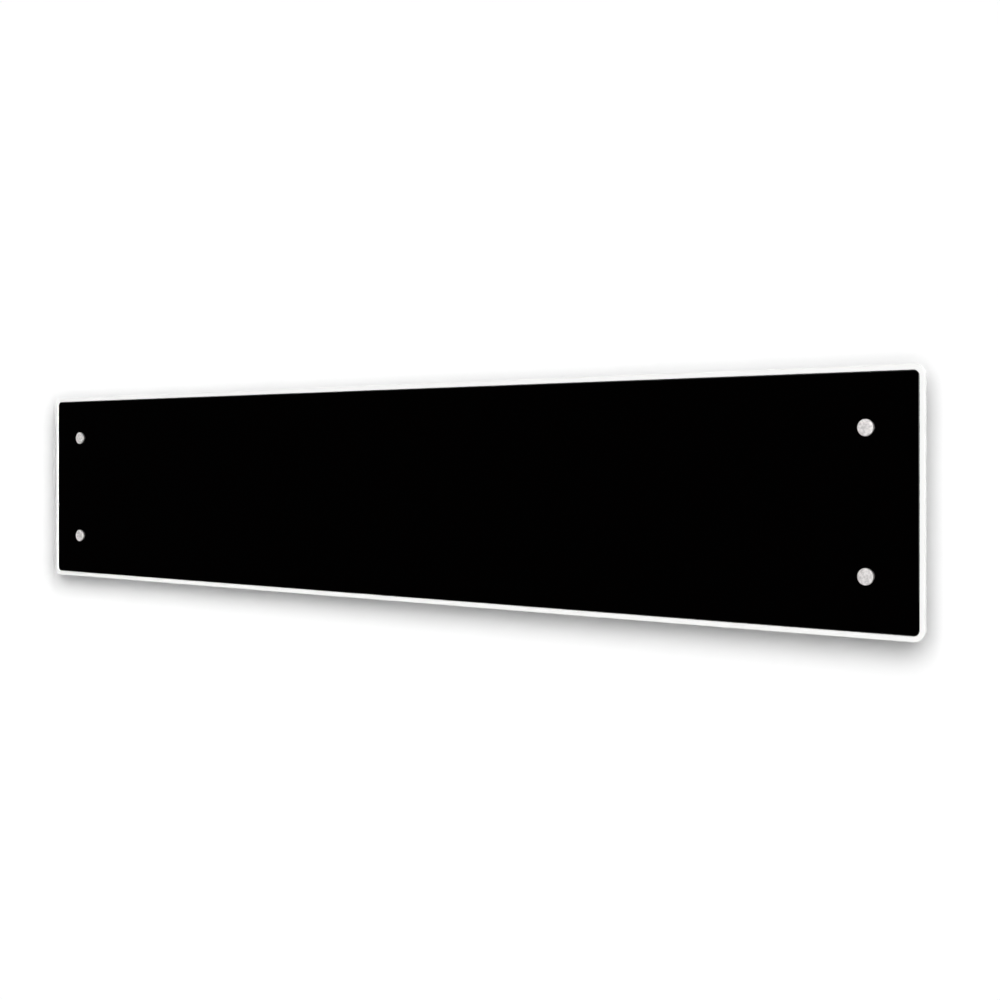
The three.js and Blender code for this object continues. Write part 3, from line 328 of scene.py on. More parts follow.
@dataclass(frozen=True)
class GlossGlass(Finish):
    """Back-painted float glass: nearly mirror smooth, with the faintest wipe marks."""

    wipe: float = 14.0
    wipe_stretch: Place = (1.0, 1.0, 4.0)
    wipe_shares: Flat = (0.7, 1.5)
    wave: float = 7.0
    wave_depth: float = 0.00002

    def detail(self, graph: NodeGraph, shader: bpy.types.Node) -> None:
        """Add long wipe marks to the gloss and a slow waviness of the surface.

        Args:
            graph: The material's graph.
            shader: Its shader.
        """
        wiped = graph.noise(graph.place(self.wipe_stretch), self.wipe, octaves=5.0)
        wave = graph.noise(graph.place(), self.wave, octaves=1.0)
        sheen = graph.spread(wiped, *(self.roughness * share for share in self.wipe_shares))
        graph.fill(shader, Roughness=sheen, Normal=graph.bump(wave, self.wave_depth))


@dataclass(frozen=True)
class TurnedMetal(Finish):
    """Satin metal faced on a lathe, with painted shade on its side: both follow the attribute
    turn_place.

    The painted shade takes over on the side between two radii, in metres, and darkens it to a
    share of the finish's own colour.
    """

    uneven: Flat = (0.06, 0.08)
    ring: float = 2600.0
    ring_depth: float = 0.000012
    mottle: float = 460.0
    mottle_depth: float = 0.00002
    mottle_share: float = 0.6
    mottle_between: Flat = (0.43, 0.57)
    mottle_tones: Flat = (0.82, 1.12)
    painted_shade_from: Flat = (0.0065, 0.0069)
    painted_shade_tone: float = 0.5

    def detail(self, graph: NodeGraph, shader: bpy.types.Node) -> None:
        """Add the tool's rings round each piece's own axis, a soft mottle and painted shade on
        the side.

        Args:
            graph: The material's graph.
            shader: Its shader.
        """
        place = graph.add("ShaderNodeAttribute", attribute_name="turn_place").outputs["Vector"]
        length = graph.add("ShaderNodeVectorMath", operation="LENGTH")
        radius = graph.feed(length, place).outputs["Value"]
        along = graph.feed(graph.add("ShaderNodeCombineXYZ"), radius).outputs[0]
        rings = graph.noise(along, self.ring, octaves=3.0)
        mottle = graph.noise(graph.place(), self.mottle, octaves=4.0)
        faint = graph.calculate("MULTIPLY", rings, 1.0 - self.mottle_share)
        both = graph.calculate("MULTIPLY_ADD", mottle, self.mottle_share, faint)
        face = self.toned(graph, both, self.mottle_between, self.mottle_tones)
        # Painted shade: the cap's side goes darker between the two radii, to a share of the colour.
        side = graph.feed(graph.add("ShaderNodeMapRange"), radius, *self.painted_shade_from).outputs[0]
        colour = graph.mix(side, face, self.tone(self.painted_shade_tone))
        normal = graph.bump(rings, self.ring_depth, graph.bump(mottle, self.mottle_depth))
        sheen = self.sheen(graph, mottle)
        graph.fill(shader, Base_Color=colour, Roughness=sheen, Normal=normal)


@dataclass(frozen=True)
class PlatedSteel(Finish):
    """Zinc plate with its faint crystal patches."""

    uneven: Flat = (0.05, 0.08)
    patch: float = 260.0
    patch_tones: Flat = (0.88, 1.08)
    mark: float = 900.0
    mark_stretch: Place = (0.05, 1.0, 1.0)
    mark_depth: float = 0.00001

    def detail(self, graph: NodeGraph, shader: bpy.types.Node) -> None:
        """Add the patches to colour and sheen, and rolling marks to the surface.

        Args:
            graph: The material's graph.
            shader: Its shader.
        """
        cells = graph.add("ShaderNodeTexVoronoi")
        graph.fill(cells, Vector=graph.place(), Scale=self.patch)
        parts = graph.feed(graph.add("ShaderNodeSeparateColor"), cells.outputs["Color"])
        patch = parts.outputs[0]
        colour = self.toned(graph, patch, (0.0, 1.0), self.patch_tones)
        marks = graph.noise(graph.place(self.mark_stretch), self.mark, octaves=3.0)
        normal = graph.bump(marks, self.mark_depth)
        sheen = self.sheen(graph, patch)
        graph.fill(shader, Base_Color=colour, Roughness=sheen, Normal=normal)


@dataclass(frozen=True)
class MillSheet(Finish):
    """Bare rolled metal whose marks run along X, in bands of two tones."""

    uneven: Flat = (0.07, 0.1)
    mark: float = 1400.0
    mark_stretch: Place = (0.02, 1.0, 1.0)
    mark_depth: float = 0.00001
    band: float = 26.0
    band_stretch: Place = (1.0, 0.2, 0.2)
    band_between: Flat = (0.38, 0.62)
    band_tone: float = 0.9
    heat_tint: Colour | None = None

    def detail(self, graph: NodeGraph, shader: bpy.types.Node) -> None:
        """Add the rolling marks and the bands, whose second tone may be a heat tint.

        Args:
            graph: The material's graph.
            shader: Its shader.
        """
        marks = graph.noise(graph.place(self.mark_stretch), self.mark, octaves=4.0)
        bands = graph.noise(graph.place(self.band_stretch), self.band, octaves=3.0)
        second = self.heat_tint or self.tone(self.band_tone)
        colour = graph.ramp(bands, self.band_between, second, self.colour)
        normal = graph.bump(marks, self.mark_depth)
        sheen = self.sheen(graph, marks)
        graph.fill(shader, Base_Color=colour, Roughness=sheen, Normal=normal)


@dataclass(frozen=True)
class GrainedPlastic(Finish):
    """Moulded plastic or rubber with a fine spark-eroded grain."""

    grain: float = 1900.0
    grain_depth: float = 0.00003
    flow: float = 60.0
    flow_between: Flat = (0.35, 0.65)
    flow_tones: Flat = (0.93, 1.04)

    def detail(self, graph: NodeGraph, shader: bpy.types.Node) -> None:
        """Add the grain and a slight change of tone from flow in the mould.

        Args:
            graph: The material's graph.
            shader: Its shader.
        """
        place = graph.place()
        grain = graph.noise(place, self.grain, octaves=3.0)
        flow = graph.noise(place, self.flow, octaves=3.0)
        colour = self.toned(graph, flow, self.flow_between, self.flow_tones)
        normal = graph.bump(grain, self.grain_depth)
        sheen = self.sheen(graph, grain)
        graph.fill(shader, Base_Color=colour, Roughness=sheen, Normal=normal)


@dataclass(frozen=True)
class SpeckledCeramic(Finish):
    """Dry-pressed ceramic with small darker specks."""

    speck: float = 1500.0
    speck_between: Flat = (0.30, 0.42)
    speck_tones: Flat = (0.6, 1.0)
    grain: float = 700.0
    grain_depth: float = 0.00004

    def detail(self, graph: NodeGraph, shader: bpy.types.Node) -> None:
        """Add the specks and the pressed body's granular surface.

        Args:
            graph: The material's graph.
            shader: Its shader.
        """
        place = graph.place()
        specks = graph.noise(place, self.speck, octaves=4.0)
        colour = self.toned(graph, specks, self.speck_between, self.speck_tones)
        grain = graph.noise(place, self.grain, octaves=3.0)
        graph.fill(shader, Base_Color=colour, Normal=graph.bump(grain, self.grain_depth))


@dataclass(frozen=True)
class SolderMask(Finish):
    """A circuit board's lacquer over copper tracks, with tinned pads."""

    copper: Colour = (0.03, 0.2, 0.07)
    tin: Colour = (0.6, 0.6, 0.58)
    track: float = 260.0
    track_between: Flat = (0.45, 0.5)
    ground_between: Flat = (0.3, 0.7)
    pad: float = 190.0
    pad_radius: float = 0.16
    relief: float = 0.00004

    def detail(self, graph: NodeGraph, shader: bpy.types.Node) -> None:
        """Add raised tracks as a net of straight runs, and round pads on them.

        Args:
            graph: The material's graph.
            shader: Its shader.
        """
        place = graph.place()
        net = graph.add("ShaderNodeTexVoronoi", distance="MANHATTAN")
        graph.fill(net, Vector=place, Scale=self.track)
        track = graph.ramp(net.outputs["Distance"], self.track_between, BLACK, WHITE)
        pads = graph.fill(graph.add("ShaderNodeTexVoronoi"), Vector=place, Scale=self.pad)
        pad = graph.calculate("LESS_THAN", pads.outputs["Distance"], self.pad_radius)
        ground = graph.ramp(track, self.ground_between, self.colour, self.copper)
        colour = graph.mix(pad, ground, self.tin)
        normal = graph.bump(graph.calculate("ADD", track, pad), self.relief)
        graph.fill(shader, Base_Color=colour, Metallic=pad, Normal=normal)


@dataclass(frozen=True)
class BraidedSleeve(Finish):
    """Glass-fibre sleeving with its crossing threads, and painted shade in the gaps between them.
    """

    thread: float = 520.0
    lay: float = 0.8
    waver: float = 0.6
    painted_gap_shade_between: Flat = (0.2, 0.8)
    painted_gap_shade_tones: Flat = (0.55, 1.0)
    thread_depth: float = 0.00008

    def detail(self, graph: NodeGraph, shader: bpy.types.Node) -> None:
        """Add two sets of threads that cross over each other, and painted shade in their gaps.

        Args:
            graph: The material's graph.
            shader: Its shader.
        """
        heights = []
        for turn in (self.lay, -self.lay):
            mapping = graph.add("ShaderNodeMapping")
            graph.fill(mapping, Vector=graph.place(), Rotation=(0.0, turn, turn))
            wave = graph.add("ShaderNodeTexWave")
            threads = mapping.outputs[0]
            graph.fill(wave, Vector=threads, Scale=self.thread, Distortion=self.waver)
            heights.append(wave.outputs["Fac"])
        braid = graph.calculate("MAXIMUM", *heights)
        # Painted shade: the colour goes darker where the threads sink, in the gaps between them.
        colour = self.toned(graph, braid, self.painted_gap_shade_between, self.painted_gap_shade_tones)
        graph.fill(shader, Base_Color=colour, Normal=graph.bump(braid, self.thread_depth))


class Finishes(Enum):
    """Every finish on the heater, by the part of it that it dresses.

    Each value gives a name, the record's slot, a colour, a roughness and a share of metal.
    """

    PANE = GlossGlass("pane_black", "black_glass", (0.0003, 0.0002, 0.0002), 0.03)
    WHITE_PAINT = PowderCoat("paint_white", "white_steel", (0.92, 0.92, 0.91), 0.48)
    CAP = TurnedMetal("cap_satin", "cap_metal", (0.84, 0.81, 0.8), 0.42, 0.42)
    ZINC = PlatedSteel("zinc_plate", "zinc_steel", (0.66, 0.67, 0.68), 0.4, 0.9)
    BRACKET_PAINT = PowderCoat(
        "paint_bracket", "bracket_steel", (0.86, 0.86, 0.85), 0.42, peel=480.0
    )
    MILL = MillSheet("mill_aluminium", "aluminium", (0.75, 0.76, 0.77), 0.34, 0.95)
    ROD = MillSheet(
        "rod_tinted", "rod_steel", (0.42, 0.4, 0.37), 0.38, 0.9, heat_tint=(0.3, 0.24, 0.3)
    )
    CERAMIC = SpeckledCeramic("bush_ceramic", "ceramic", (0.88, 0.85, 0.78), 0.55)
    SILICONE = GrainedPlastic("soft_silicone", "silicone", (0.8, 0.8, 0.78), 0.6, grain=700.0)
    BLACK_PLASTIC = GrainedPlastic("plastic_black", "black_plastic", (0.02, 0.02, 0.021), 0.46)
    GREY_PLASTIC = GrainedPlastic("plastic_grey", "grey_plastic", (0.72, 0.72, 0.7), 0.44)
    DISPLAY = GlossGlass("display_dark", "display_glass", (0.008, 0.008, 0.01), 0.06)
    BOARD = SolderMask("board_green", "circuit_board", (0.02, 0.13, 0.05), 0.3)
    SLEEVE = BraidedSleeve("lead_braid", "lead_sleeve", (0.45, 0.08, 0.05), 0.62)
    MARK = GrainedPlastic("mark_dark", "black_plastic", (0.09, 0.09, 0.1), 0.4, grain=900.0)

    @classmethod
    def for_slot(cls, slot: str) -> "Finishes":
        """Give the first finish that stands for a record slot."""
        return next(finish for finish in cls if finish.value.slot == slot)


class Shape:
    """A mesh under construction, in millimetres."""

    def __init__(self) -> None:
        """Start with nothing."""
        self.mesh = bmesh.new()

    @classmethod
    def turned(cls, profile: Sequence[Flat], sides: int) -> "Shape":
        """Turn a profile about the out axis.

        Args:
            profile: (radius, out) points. It closes on itself unless both ends lie on the axis.
            sides: How many steps one turn has.

        Returns:
            The closed turned shape.
        """
        made = cls()
        rings = []
        for radius, out in profile:
            if radius == 0:
                rings.append([made.mesh.verts.new((0, 0, out))] * sides)
            else:
                outline = circle(radius, sides=sides)
                rings.append([made.mesh.verts.new((*point, out)) for point in outline])
        pairs = list(zip(rings, rings[1:]))
        if profile[0][0] != 0:
            pairs.append((rings[-1], rings[0]))
        for low, high in pairs:
            made.bridge(low, high)
        return made.outward()

    @classmethod
    def loft(cls, rings: Sequence[Sequence[Vector]]) -> "Shape":
        """Join rings of points, the last one to the first.

        Args:
            rings: Closed loops with the same number of points, in order.

        Returns:
            The closed shape.
        """
        made = cls()
        loops = [[made.mesh.verts.new(point) for point in ring] for ring in rings]
        for low, high in zip(loops, loops[1:] + loops[:1]):
            made.bridge(low, high)
        return made.outward()

    @classmethod
    def plate(
        cls, outlines: Sequence[Outline], low: float, high: float, edge: float = 0.0, steps: int = 2
    ) -> "Shape":
        """Fill outlines as a plate, with holes where one lies inside another.

        Args:
            outlines: The rim and the holes.
            low: Where the plate starts along the out axis.
            high: Where it ends.
            edge: How far its edges are rounded.
            steps: How many faces round each edge has.

        Returns:
            The closed plate.
        """
        curve = bpy.data.curves.new("outline", "CURVE")
        curve.dimensions = "2D"
        curve.fill_mode = "BOTH"
        for outline in outlines:
            spline = curve.splines.new("POLY")
            spline.points.add(len(outline) - 1)
            for point, (across, up) in zip(spline.points, outline):
                point.co = (across, up, 0, 1)
            spline.use_cyclic_u = True
        curve.extrude = (high - low) / 2 - edge
        curve.bevel_depth = edge
        curve.bevel_resolution = steps
        curve.offset = -edge
        holder = bpy.data.objects.new("outline", curve)
        bpy.context.scene.collection.objects.link(holder)
        graph = bpy.context.evaluated_depsgraph_get()
        made = cls().taken(bpy.data.meshes.new_from_object(holder.evaluated_get(graph)))
        bpy.data.objects.remove(holder)
        bpy.data.curves.remove(curve)
        return made.merged().moved(Matrix.Translation((0, 0, (low + high) / 2))).outward()

    @classmethod
    def mark(cls, outlines: Sequence[Outline], surface: float) -> "Shape":
        """Raise a moulded mark on a surface, sunk a little into it."""
        return cls.plate(outlines, surface - MARK_SUNK, surface + MARK_PROUD, MARK_EDGE, steps=1)

    @classmethod
    def copy_of(cls, node: str) -> "Shape":
        """Copy a CAD node.

        Args:
            node: The node's name.

        Returns:
            Its shape with its loose triangles merged and its flat faces whole.
        """
        made = cls()
        made.mesh.from_mesh(frame["nodes"][node].data)
        made.moved(Matrix.Scale(1 / MM, 4)).merged()
        verts, edges = made.mesh.verts, made.mesh.edges
        bmesh.ops.dissolve_limit(made.mesh, angle_limit=FLAT_ANGLE, verts=verts, edges=edges)
        return made

    def taken(self, mesh: bpy.types.Mesh) -> "Shape":
        """Take over a mesh that nothing else needs.

        Args:
            mesh: The mesh, which is removed.

        Returns:
            The same shape.
        """
        self.mesh.from_mesh(mesh)
        bpy.data.meshes.remove(mesh)
        return self

    def bridge(self, low: Sequence[bmesh.types.BMVert], high: Sequence[bmesh.types.BMVert]) -> None:
        """Put faces between two loops, with triangles at a pole.

        Args:
            low: One loop; a pole is the same vertex all round.
            high: The other loop.
        """
        count = len(low)
        for i in range(count):
            j = (i + 1) % count
            corners = list(dict.fromkeys((low[i], low[j], high[j], high[i])))
            if len(corners) > 2:
                self.mesh.faces.new(corners)

    def merged(self) -> "Shape":
        """Merge the vertices that lie in one place."""
        bmesh.ops.remove_doubles(self.mesh, verts=self.mesh.verts, dist=MERGE_DISTANCE)
        return self

    def outward(self) -> "Shape":
        """Turn every face outwards."""
        bmesh.ops.recalc_face_normals(self.mesh, faces=self.mesh.faces)
        return self

    def moved(self, *turns: Matrix) -> "Shape":
        """Apply turns and shifts.

        Args:
            turns: The turns and shifts, in the order in which they come.

        Returns:
            The same shape.
        """
        for turn in turns:
            bmesh.ops.transform(self.mesh, matrix=turn, verts=self.mesh.verts)
        return self

    def facing(self, way: Facing, place: Sequence[float] = (0, 0, 0)) -> "Shape":
        """Turn the shape to face a way and shift it to its place."""
        return self.moved(way.turn(), Matrix.Translation(place))

    def softened(self, edge: float, steps: int) -> "Shape":
        """Round the sharp edges.

        Args:
            edge: How far from the edge the rounding starts.
            steps: How many faces it has.

        Returns:
            The same shape.
        """
        sharp = [
            e for e in self.mesh.edges
            if len(e.link_faces) == 2 and e.calc_face_angle(0.0) > SHARP_ANGLE
        ]
        bmesh.ops.bevel(
            self.mesh, geom=sharp, offset=edge, segments=steps, profile=0.5,
            affect="EDGES", clamp_overlap=True,
        )
        return self

    def with_these(self, *others: "Shape") -> "Shape":
        """Add other shapes to this one as further shells.

        Args:
            others: The shapes, used up.

        Returns:
            The same shape.
        """
        for other in others:
            holder = bpy.data.meshes.new("part")
            other.mesh.to_mesh(holder)
            other.mesh.free()
            self.taken(holder)
        return self

    def repeated(self, finish: Finishes, tree: "Repeat", **values: object) -> "Shape":
        """Copy the shape by a tree; the one shape is used up.

        Args:
            finish: What the copies are dressed in.
            tree: The tree that copies it.
            values: The tree's inputs by name, in millimetres.

        Returns:
            All the copies as one shape.
        """
        holder = tree.run(self.piece("copies", finish), **values)
        data = holder.data
        bpy.data.objects.remove(holder)
        return Shape().taken(data).moved(Matrix.Scale(1 / MM, 4))

    def in_a_row(self, finish: Finishes, middle: Place, step: Place, count: int) -> "Shape":
        """Copy the shape by a step in a row about a middle; the one shape is used up."""
        start = tuple(place - way * (count - 1) / 2 for place, way in zip(middle, step))
        return self.repeated(finish, Repeat.row(), Start=start, Step=step, Count=count)

    def piece(
        self, name: str, finish: Finishes, smooth: float = SMOOTH_ANGLE
    ) -> bpy.types.Object:
        """Turn the shape into an object in metres.

        Args:
            name: The object's name.
            finish: What it is dressed in.
            smooth: The largest angle across an edge that is shaded round.

        Returns:
            The object, linked to the scene.
        """
        self.moved(Matrix.Scale(MM, 4))
        data = bpy.data.meshes.new(name)
        self.mesh.to_mesh(data)
        self.mesh.free()
        data.shade_smooth()
        data.set_sharp_from_angle(angle=smooth)
        data.materials.append(finish.value.material())
        made = bpy.data.objects.new(name, data)
        bpy.context.scene.collection.objects.link(made)
        weighing = made.modifiers.new("flat_faces_stay_flat", "WEIGHTED_NORMAL")
        weighing.keep_sharp = True
        return plain_mesh(made, weighing)


def plain_mesh(piece: bpy.types.Object, modifier: bpy.types.Modifier) -> bpy.types.Object:
    """Replace a piece's mesh by what its modifier makes of it, and remove the modifier.

    Args:
        piece: The object.
        modifier: Its only modifier.

    Returns:
        The same object.
    """
    graph = bpy.context.evaluated_depsgraph_get()
    result = bpy.data.meshes.new_from_object(piece.evaluated_get(graph))
    piece.modifiers.remove(modifier)
    old, piece.data = piece.data, result
    bpy.data.meshes.remove(old)
    result.name = piece.name
    return piece


def rounded_box(
    width: float, height: float, radius: float, steps: int = 8, middle: Flat = (0, 0)
) -> Outline:
    """Outline a box with round corners, anticlockwise.

    Args:
        width: Its full width.
        height: Its full height.
        radius: Its corners' radius.
        steps: How many faces each corner has.
        middle: Where its middle lies.

    Returns:
        The outline.
    """
    outline = []
    for quarter in range(4):
        across = (width / 2 - radius) * (1 if quarter in (0, 3) else -1)
        up = (height / 2 - radius) * (1 if quarter in (0, 1) else -1)
        for i in range(steps + 1):
            angle = QUARTER * (quarter + i / steps)
            x = middle[0] + across + radius * math.cos(angle)
            y = middle[1] + up + radius * math.sin(angle)
            outline.append((x, y))
    return outline


def circle(radius: float, middle: Flat = (0, 0), sides: int = 32) -> Outline:
    """Outline a circle, anticlockwise."""
    angles = (2 * math.pi * i / sides for i in range(sides))
    return [(middle[0] + radius * math.cos(a), middle[1] + radius * math.sin(a)) for a in angles]


def cross(reach: float, half_width: float) -> Outline:
    """Outline an upright cross, anticlockwise.

    Args:
        reach: How far each arm reaches from the middle.
        half_width: Half of an arm's width.

    Returns:
        The outline.
    """
    arm = [(reach, -half_width), (reach, half_width), (half_width, half_width)]
    outline = []
    for _ in range(4):
        outline += arm
        arm = [(-y, x) for x, y in arm]
    return outline


def arc(middle: Flat, radius: float, start: float, end: float, steps: int) -> Outline:
    """Give the points of an arc from one angle in degrees to another, both ends included."""
    angles = (math.radians(start + (end - start) * i / steps) for i in range(steps + 1))
    return [(middle[0] + radius * math.cos(a), middle[1] + radius * math.sin(a)) for a in angles]


class Repeat:
    """A Geometry Nodes tree that copies one shape to a set of points."""

    def __init__(self, name: str, **sizes: str) -> None:
        """Make the tree with its inputs.

        Args:
            name: The tree's name.
            sizes: The kind of each input that it has beside its geometry and material.
        """
        self.tree = bpy.data.node_groups.new(name, "GeometryNodeTree")
        self.graph = NodeGraph(self.tree)
        add = self.tree.interface.new_socket
        add("Geometry", in_out="OUTPUT", socket_type="NodeSocketGeometry")
        for title, kind in {"Geometry": "Geometry", "Material": "Material", **sizes}.items():
            add(title, in_out="INPUT", socket_type=f"NodeSocket{kind}")
        self.given = self.graph.add("NodeGroupInput").outputs

    def close(self, points: Socket, rotation: Socket | None = None) -> "Repeat":
        """Put the shape on the points, realise the copies and set their material.

        Args:
            points: The points' geometry.
            rotation: How each copy is turned.

        Returns:
            The same tree.
        """
        graph, given = self.graph, self.given
        copies = graph.add("GeometryNodeInstanceOnPoints")
        graph.fill(copies, Points=points, Instance=given["Geometry"])
        if rotation is not None:
            graph.link(rotation, copies.inputs["Rotation"])
        real = graph.feed(graph.add("GeometryNodeRealizeInstances"), copies.outputs[0])
        dressed = graph.add("GeometryNodeSetMaterial")
        graph.fill(dressed, Geometry=real.outputs[0], Material=given["Material"])
        graph.link(dressed.outputs[0], graph.add("NodeGroupOutput").inputs[0])
        return self

    @classmethod
    def row(cls) -> "Repeat":
        """Make a tree that sets copies in a straight row.

        Returns:
            The tree, whose inputs are Start, Step and Count.
        """
        made = cls("copies_in_a_row", Start="Vector", Step="Vector", Count="Int")
        line = made.graph.add("GeometryNodeMeshLine", mode="OFFSET")
        start, step = made.given["Start"], made.given["Step"]
        made.graph.fill(line, Count=made.given["Count"], Start_Location=start, Offset=step)
        return made.close(line.outputs[0])

    @classmethod
    def corners(cls) -> "Repeat":
        """Make a tree that sets copies at the four corners of an upright box.

        Returns:
            The tree, whose inputs are Width and Height.
        """
        made = cls("copies_at_corners", Width="Float", Height="Float")
        grid = made.graph.add("GeometryNodeMeshGrid")
        width, height = made.given["Width"], made.given["Height"]
        made.graph.fill(grid, Size_X=width, Size_Y=height, Vertices_X=2, Vertices_Y=2)
        upright = made.graph.add("GeometryNodeTransform")
        made.graph.fill(upright, Geometry=grid.outputs[0], Rotation=Euler((QUARTER, 0, 0)))
        return made.close(upright.outputs[0])

    @classmethod
    def ring(cls) -> "Repeat":
        """Make a tree that sets copies round an upright axis, each turned with its place.

        Returns:
            The tree, whose inputs are Centre and Count.
        """
        made = cls("copies_in_a_ring", Centre="Vector", Count="Int")
        graph, count = made.graph, made.given["Count"]
        points = graph.add("GeometryNodeMeshCircle")
        graph.fill(points, Vertices=count, Radius=0.0)
        shifted = graph.add("GeometryNodeTransform")
        graph.fill(shifted, Geometry=points.outputs[0], Translation=made.given["Centre"])
        index = graph.add("GeometryNodeInputIndex").outputs[0]
        one_step = graph.calculate("DIVIDE", 2 * math.pi, count)
        angle = graph.calculate("MULTIPLY", index, one_step)
        turn = graph.fill(graph.add("ShaderNodeCombineXYZ"), Z=angle)
        return made.close(shifted.outputs[0], turn.outputs[0])

    @staticmethod
    def in_metres(value: object) -> object:
        """Give an input's value in metres.

        Args:
            value: A length or a vector in millimetres, or a count.

        Returns:
            The length or vector in metres, or the count as it is.
        """
        if isinstance(value, int):
            return value
        if isinstance(value, float):
            return value * MM
        return tuple(part * MM for part in value)

    def run(self, piece: bpy.types.Object, **values: object) -> bpy.types.Object:
        """Replace a piece's mesh by the tree's result.

        Args:
            piece: The object that holds the one shape.
            values: The tree's inputs by name, in millimetres.

        Returns:
            The same object with its plain mesh.
        """
        material = piece.data.materials[0]
        inputs = {name: self.in_metres(value) for name, value in values.items()}
        inputs["Material"] = material
        modifier = piece.modifiers.new(self.tree.name, "NODES")
        modifier.node_group = self.tree
        for item in self.tree.interface.items_tree:
            if item.in_out == "INPUT" and item.name in inputs:
                modifier[item.identifier] = inputs[item.name]
        plain_mesh(piece, modifier)
        if not piece.data.materials:
            piece.data.materials.append(material)
        return piece


@dataclass
class Assembly:
    """A sub-assembly: it builds its pieces and sets each on its body.

    The sizes of every sub-assembly are in millimetres, in the part's own frame.
    """

    body: str = "heater"
    made: list[str] = field(default_factory=list)

    def settle(
        self, piece: bpy.types.Object, finish: Finishes, *nodes: str, body: str | None = None
    ) -> None:
        """Set a piece on its body and hide the CAD nodes that it replaces.

        Args:
            piece: The finished piece.
            finish: Not used.
            nodes: The CAD nodes that it replaces.
            body: Its body, if it isn't the sub-assembly's own.
        """
        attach(piece, body or self.body)
        if nodes:
            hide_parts(*nodes)
        self.made.append(piece.name)

    def dress(
        self, shape: Shape, name: str, finish: Finishes, *nodes: str,
        body: str | None = None, smooth: float = SMOOTH_ANGLE,
    ) -> None:
        """Make a shape a piece and settle it."""
        self.settle(shape.piece(name, finish, smooth), finish, *nodes, body=body)

    def build(self) -> None:
        """Build every piece of the sub-assembly."""
        raise NotImplementedError

    def report(self) -> None:
        """Log the pieces that were made."""
        LOG.info("%s: %s", type(self).__name__, ", ".join(self.made))


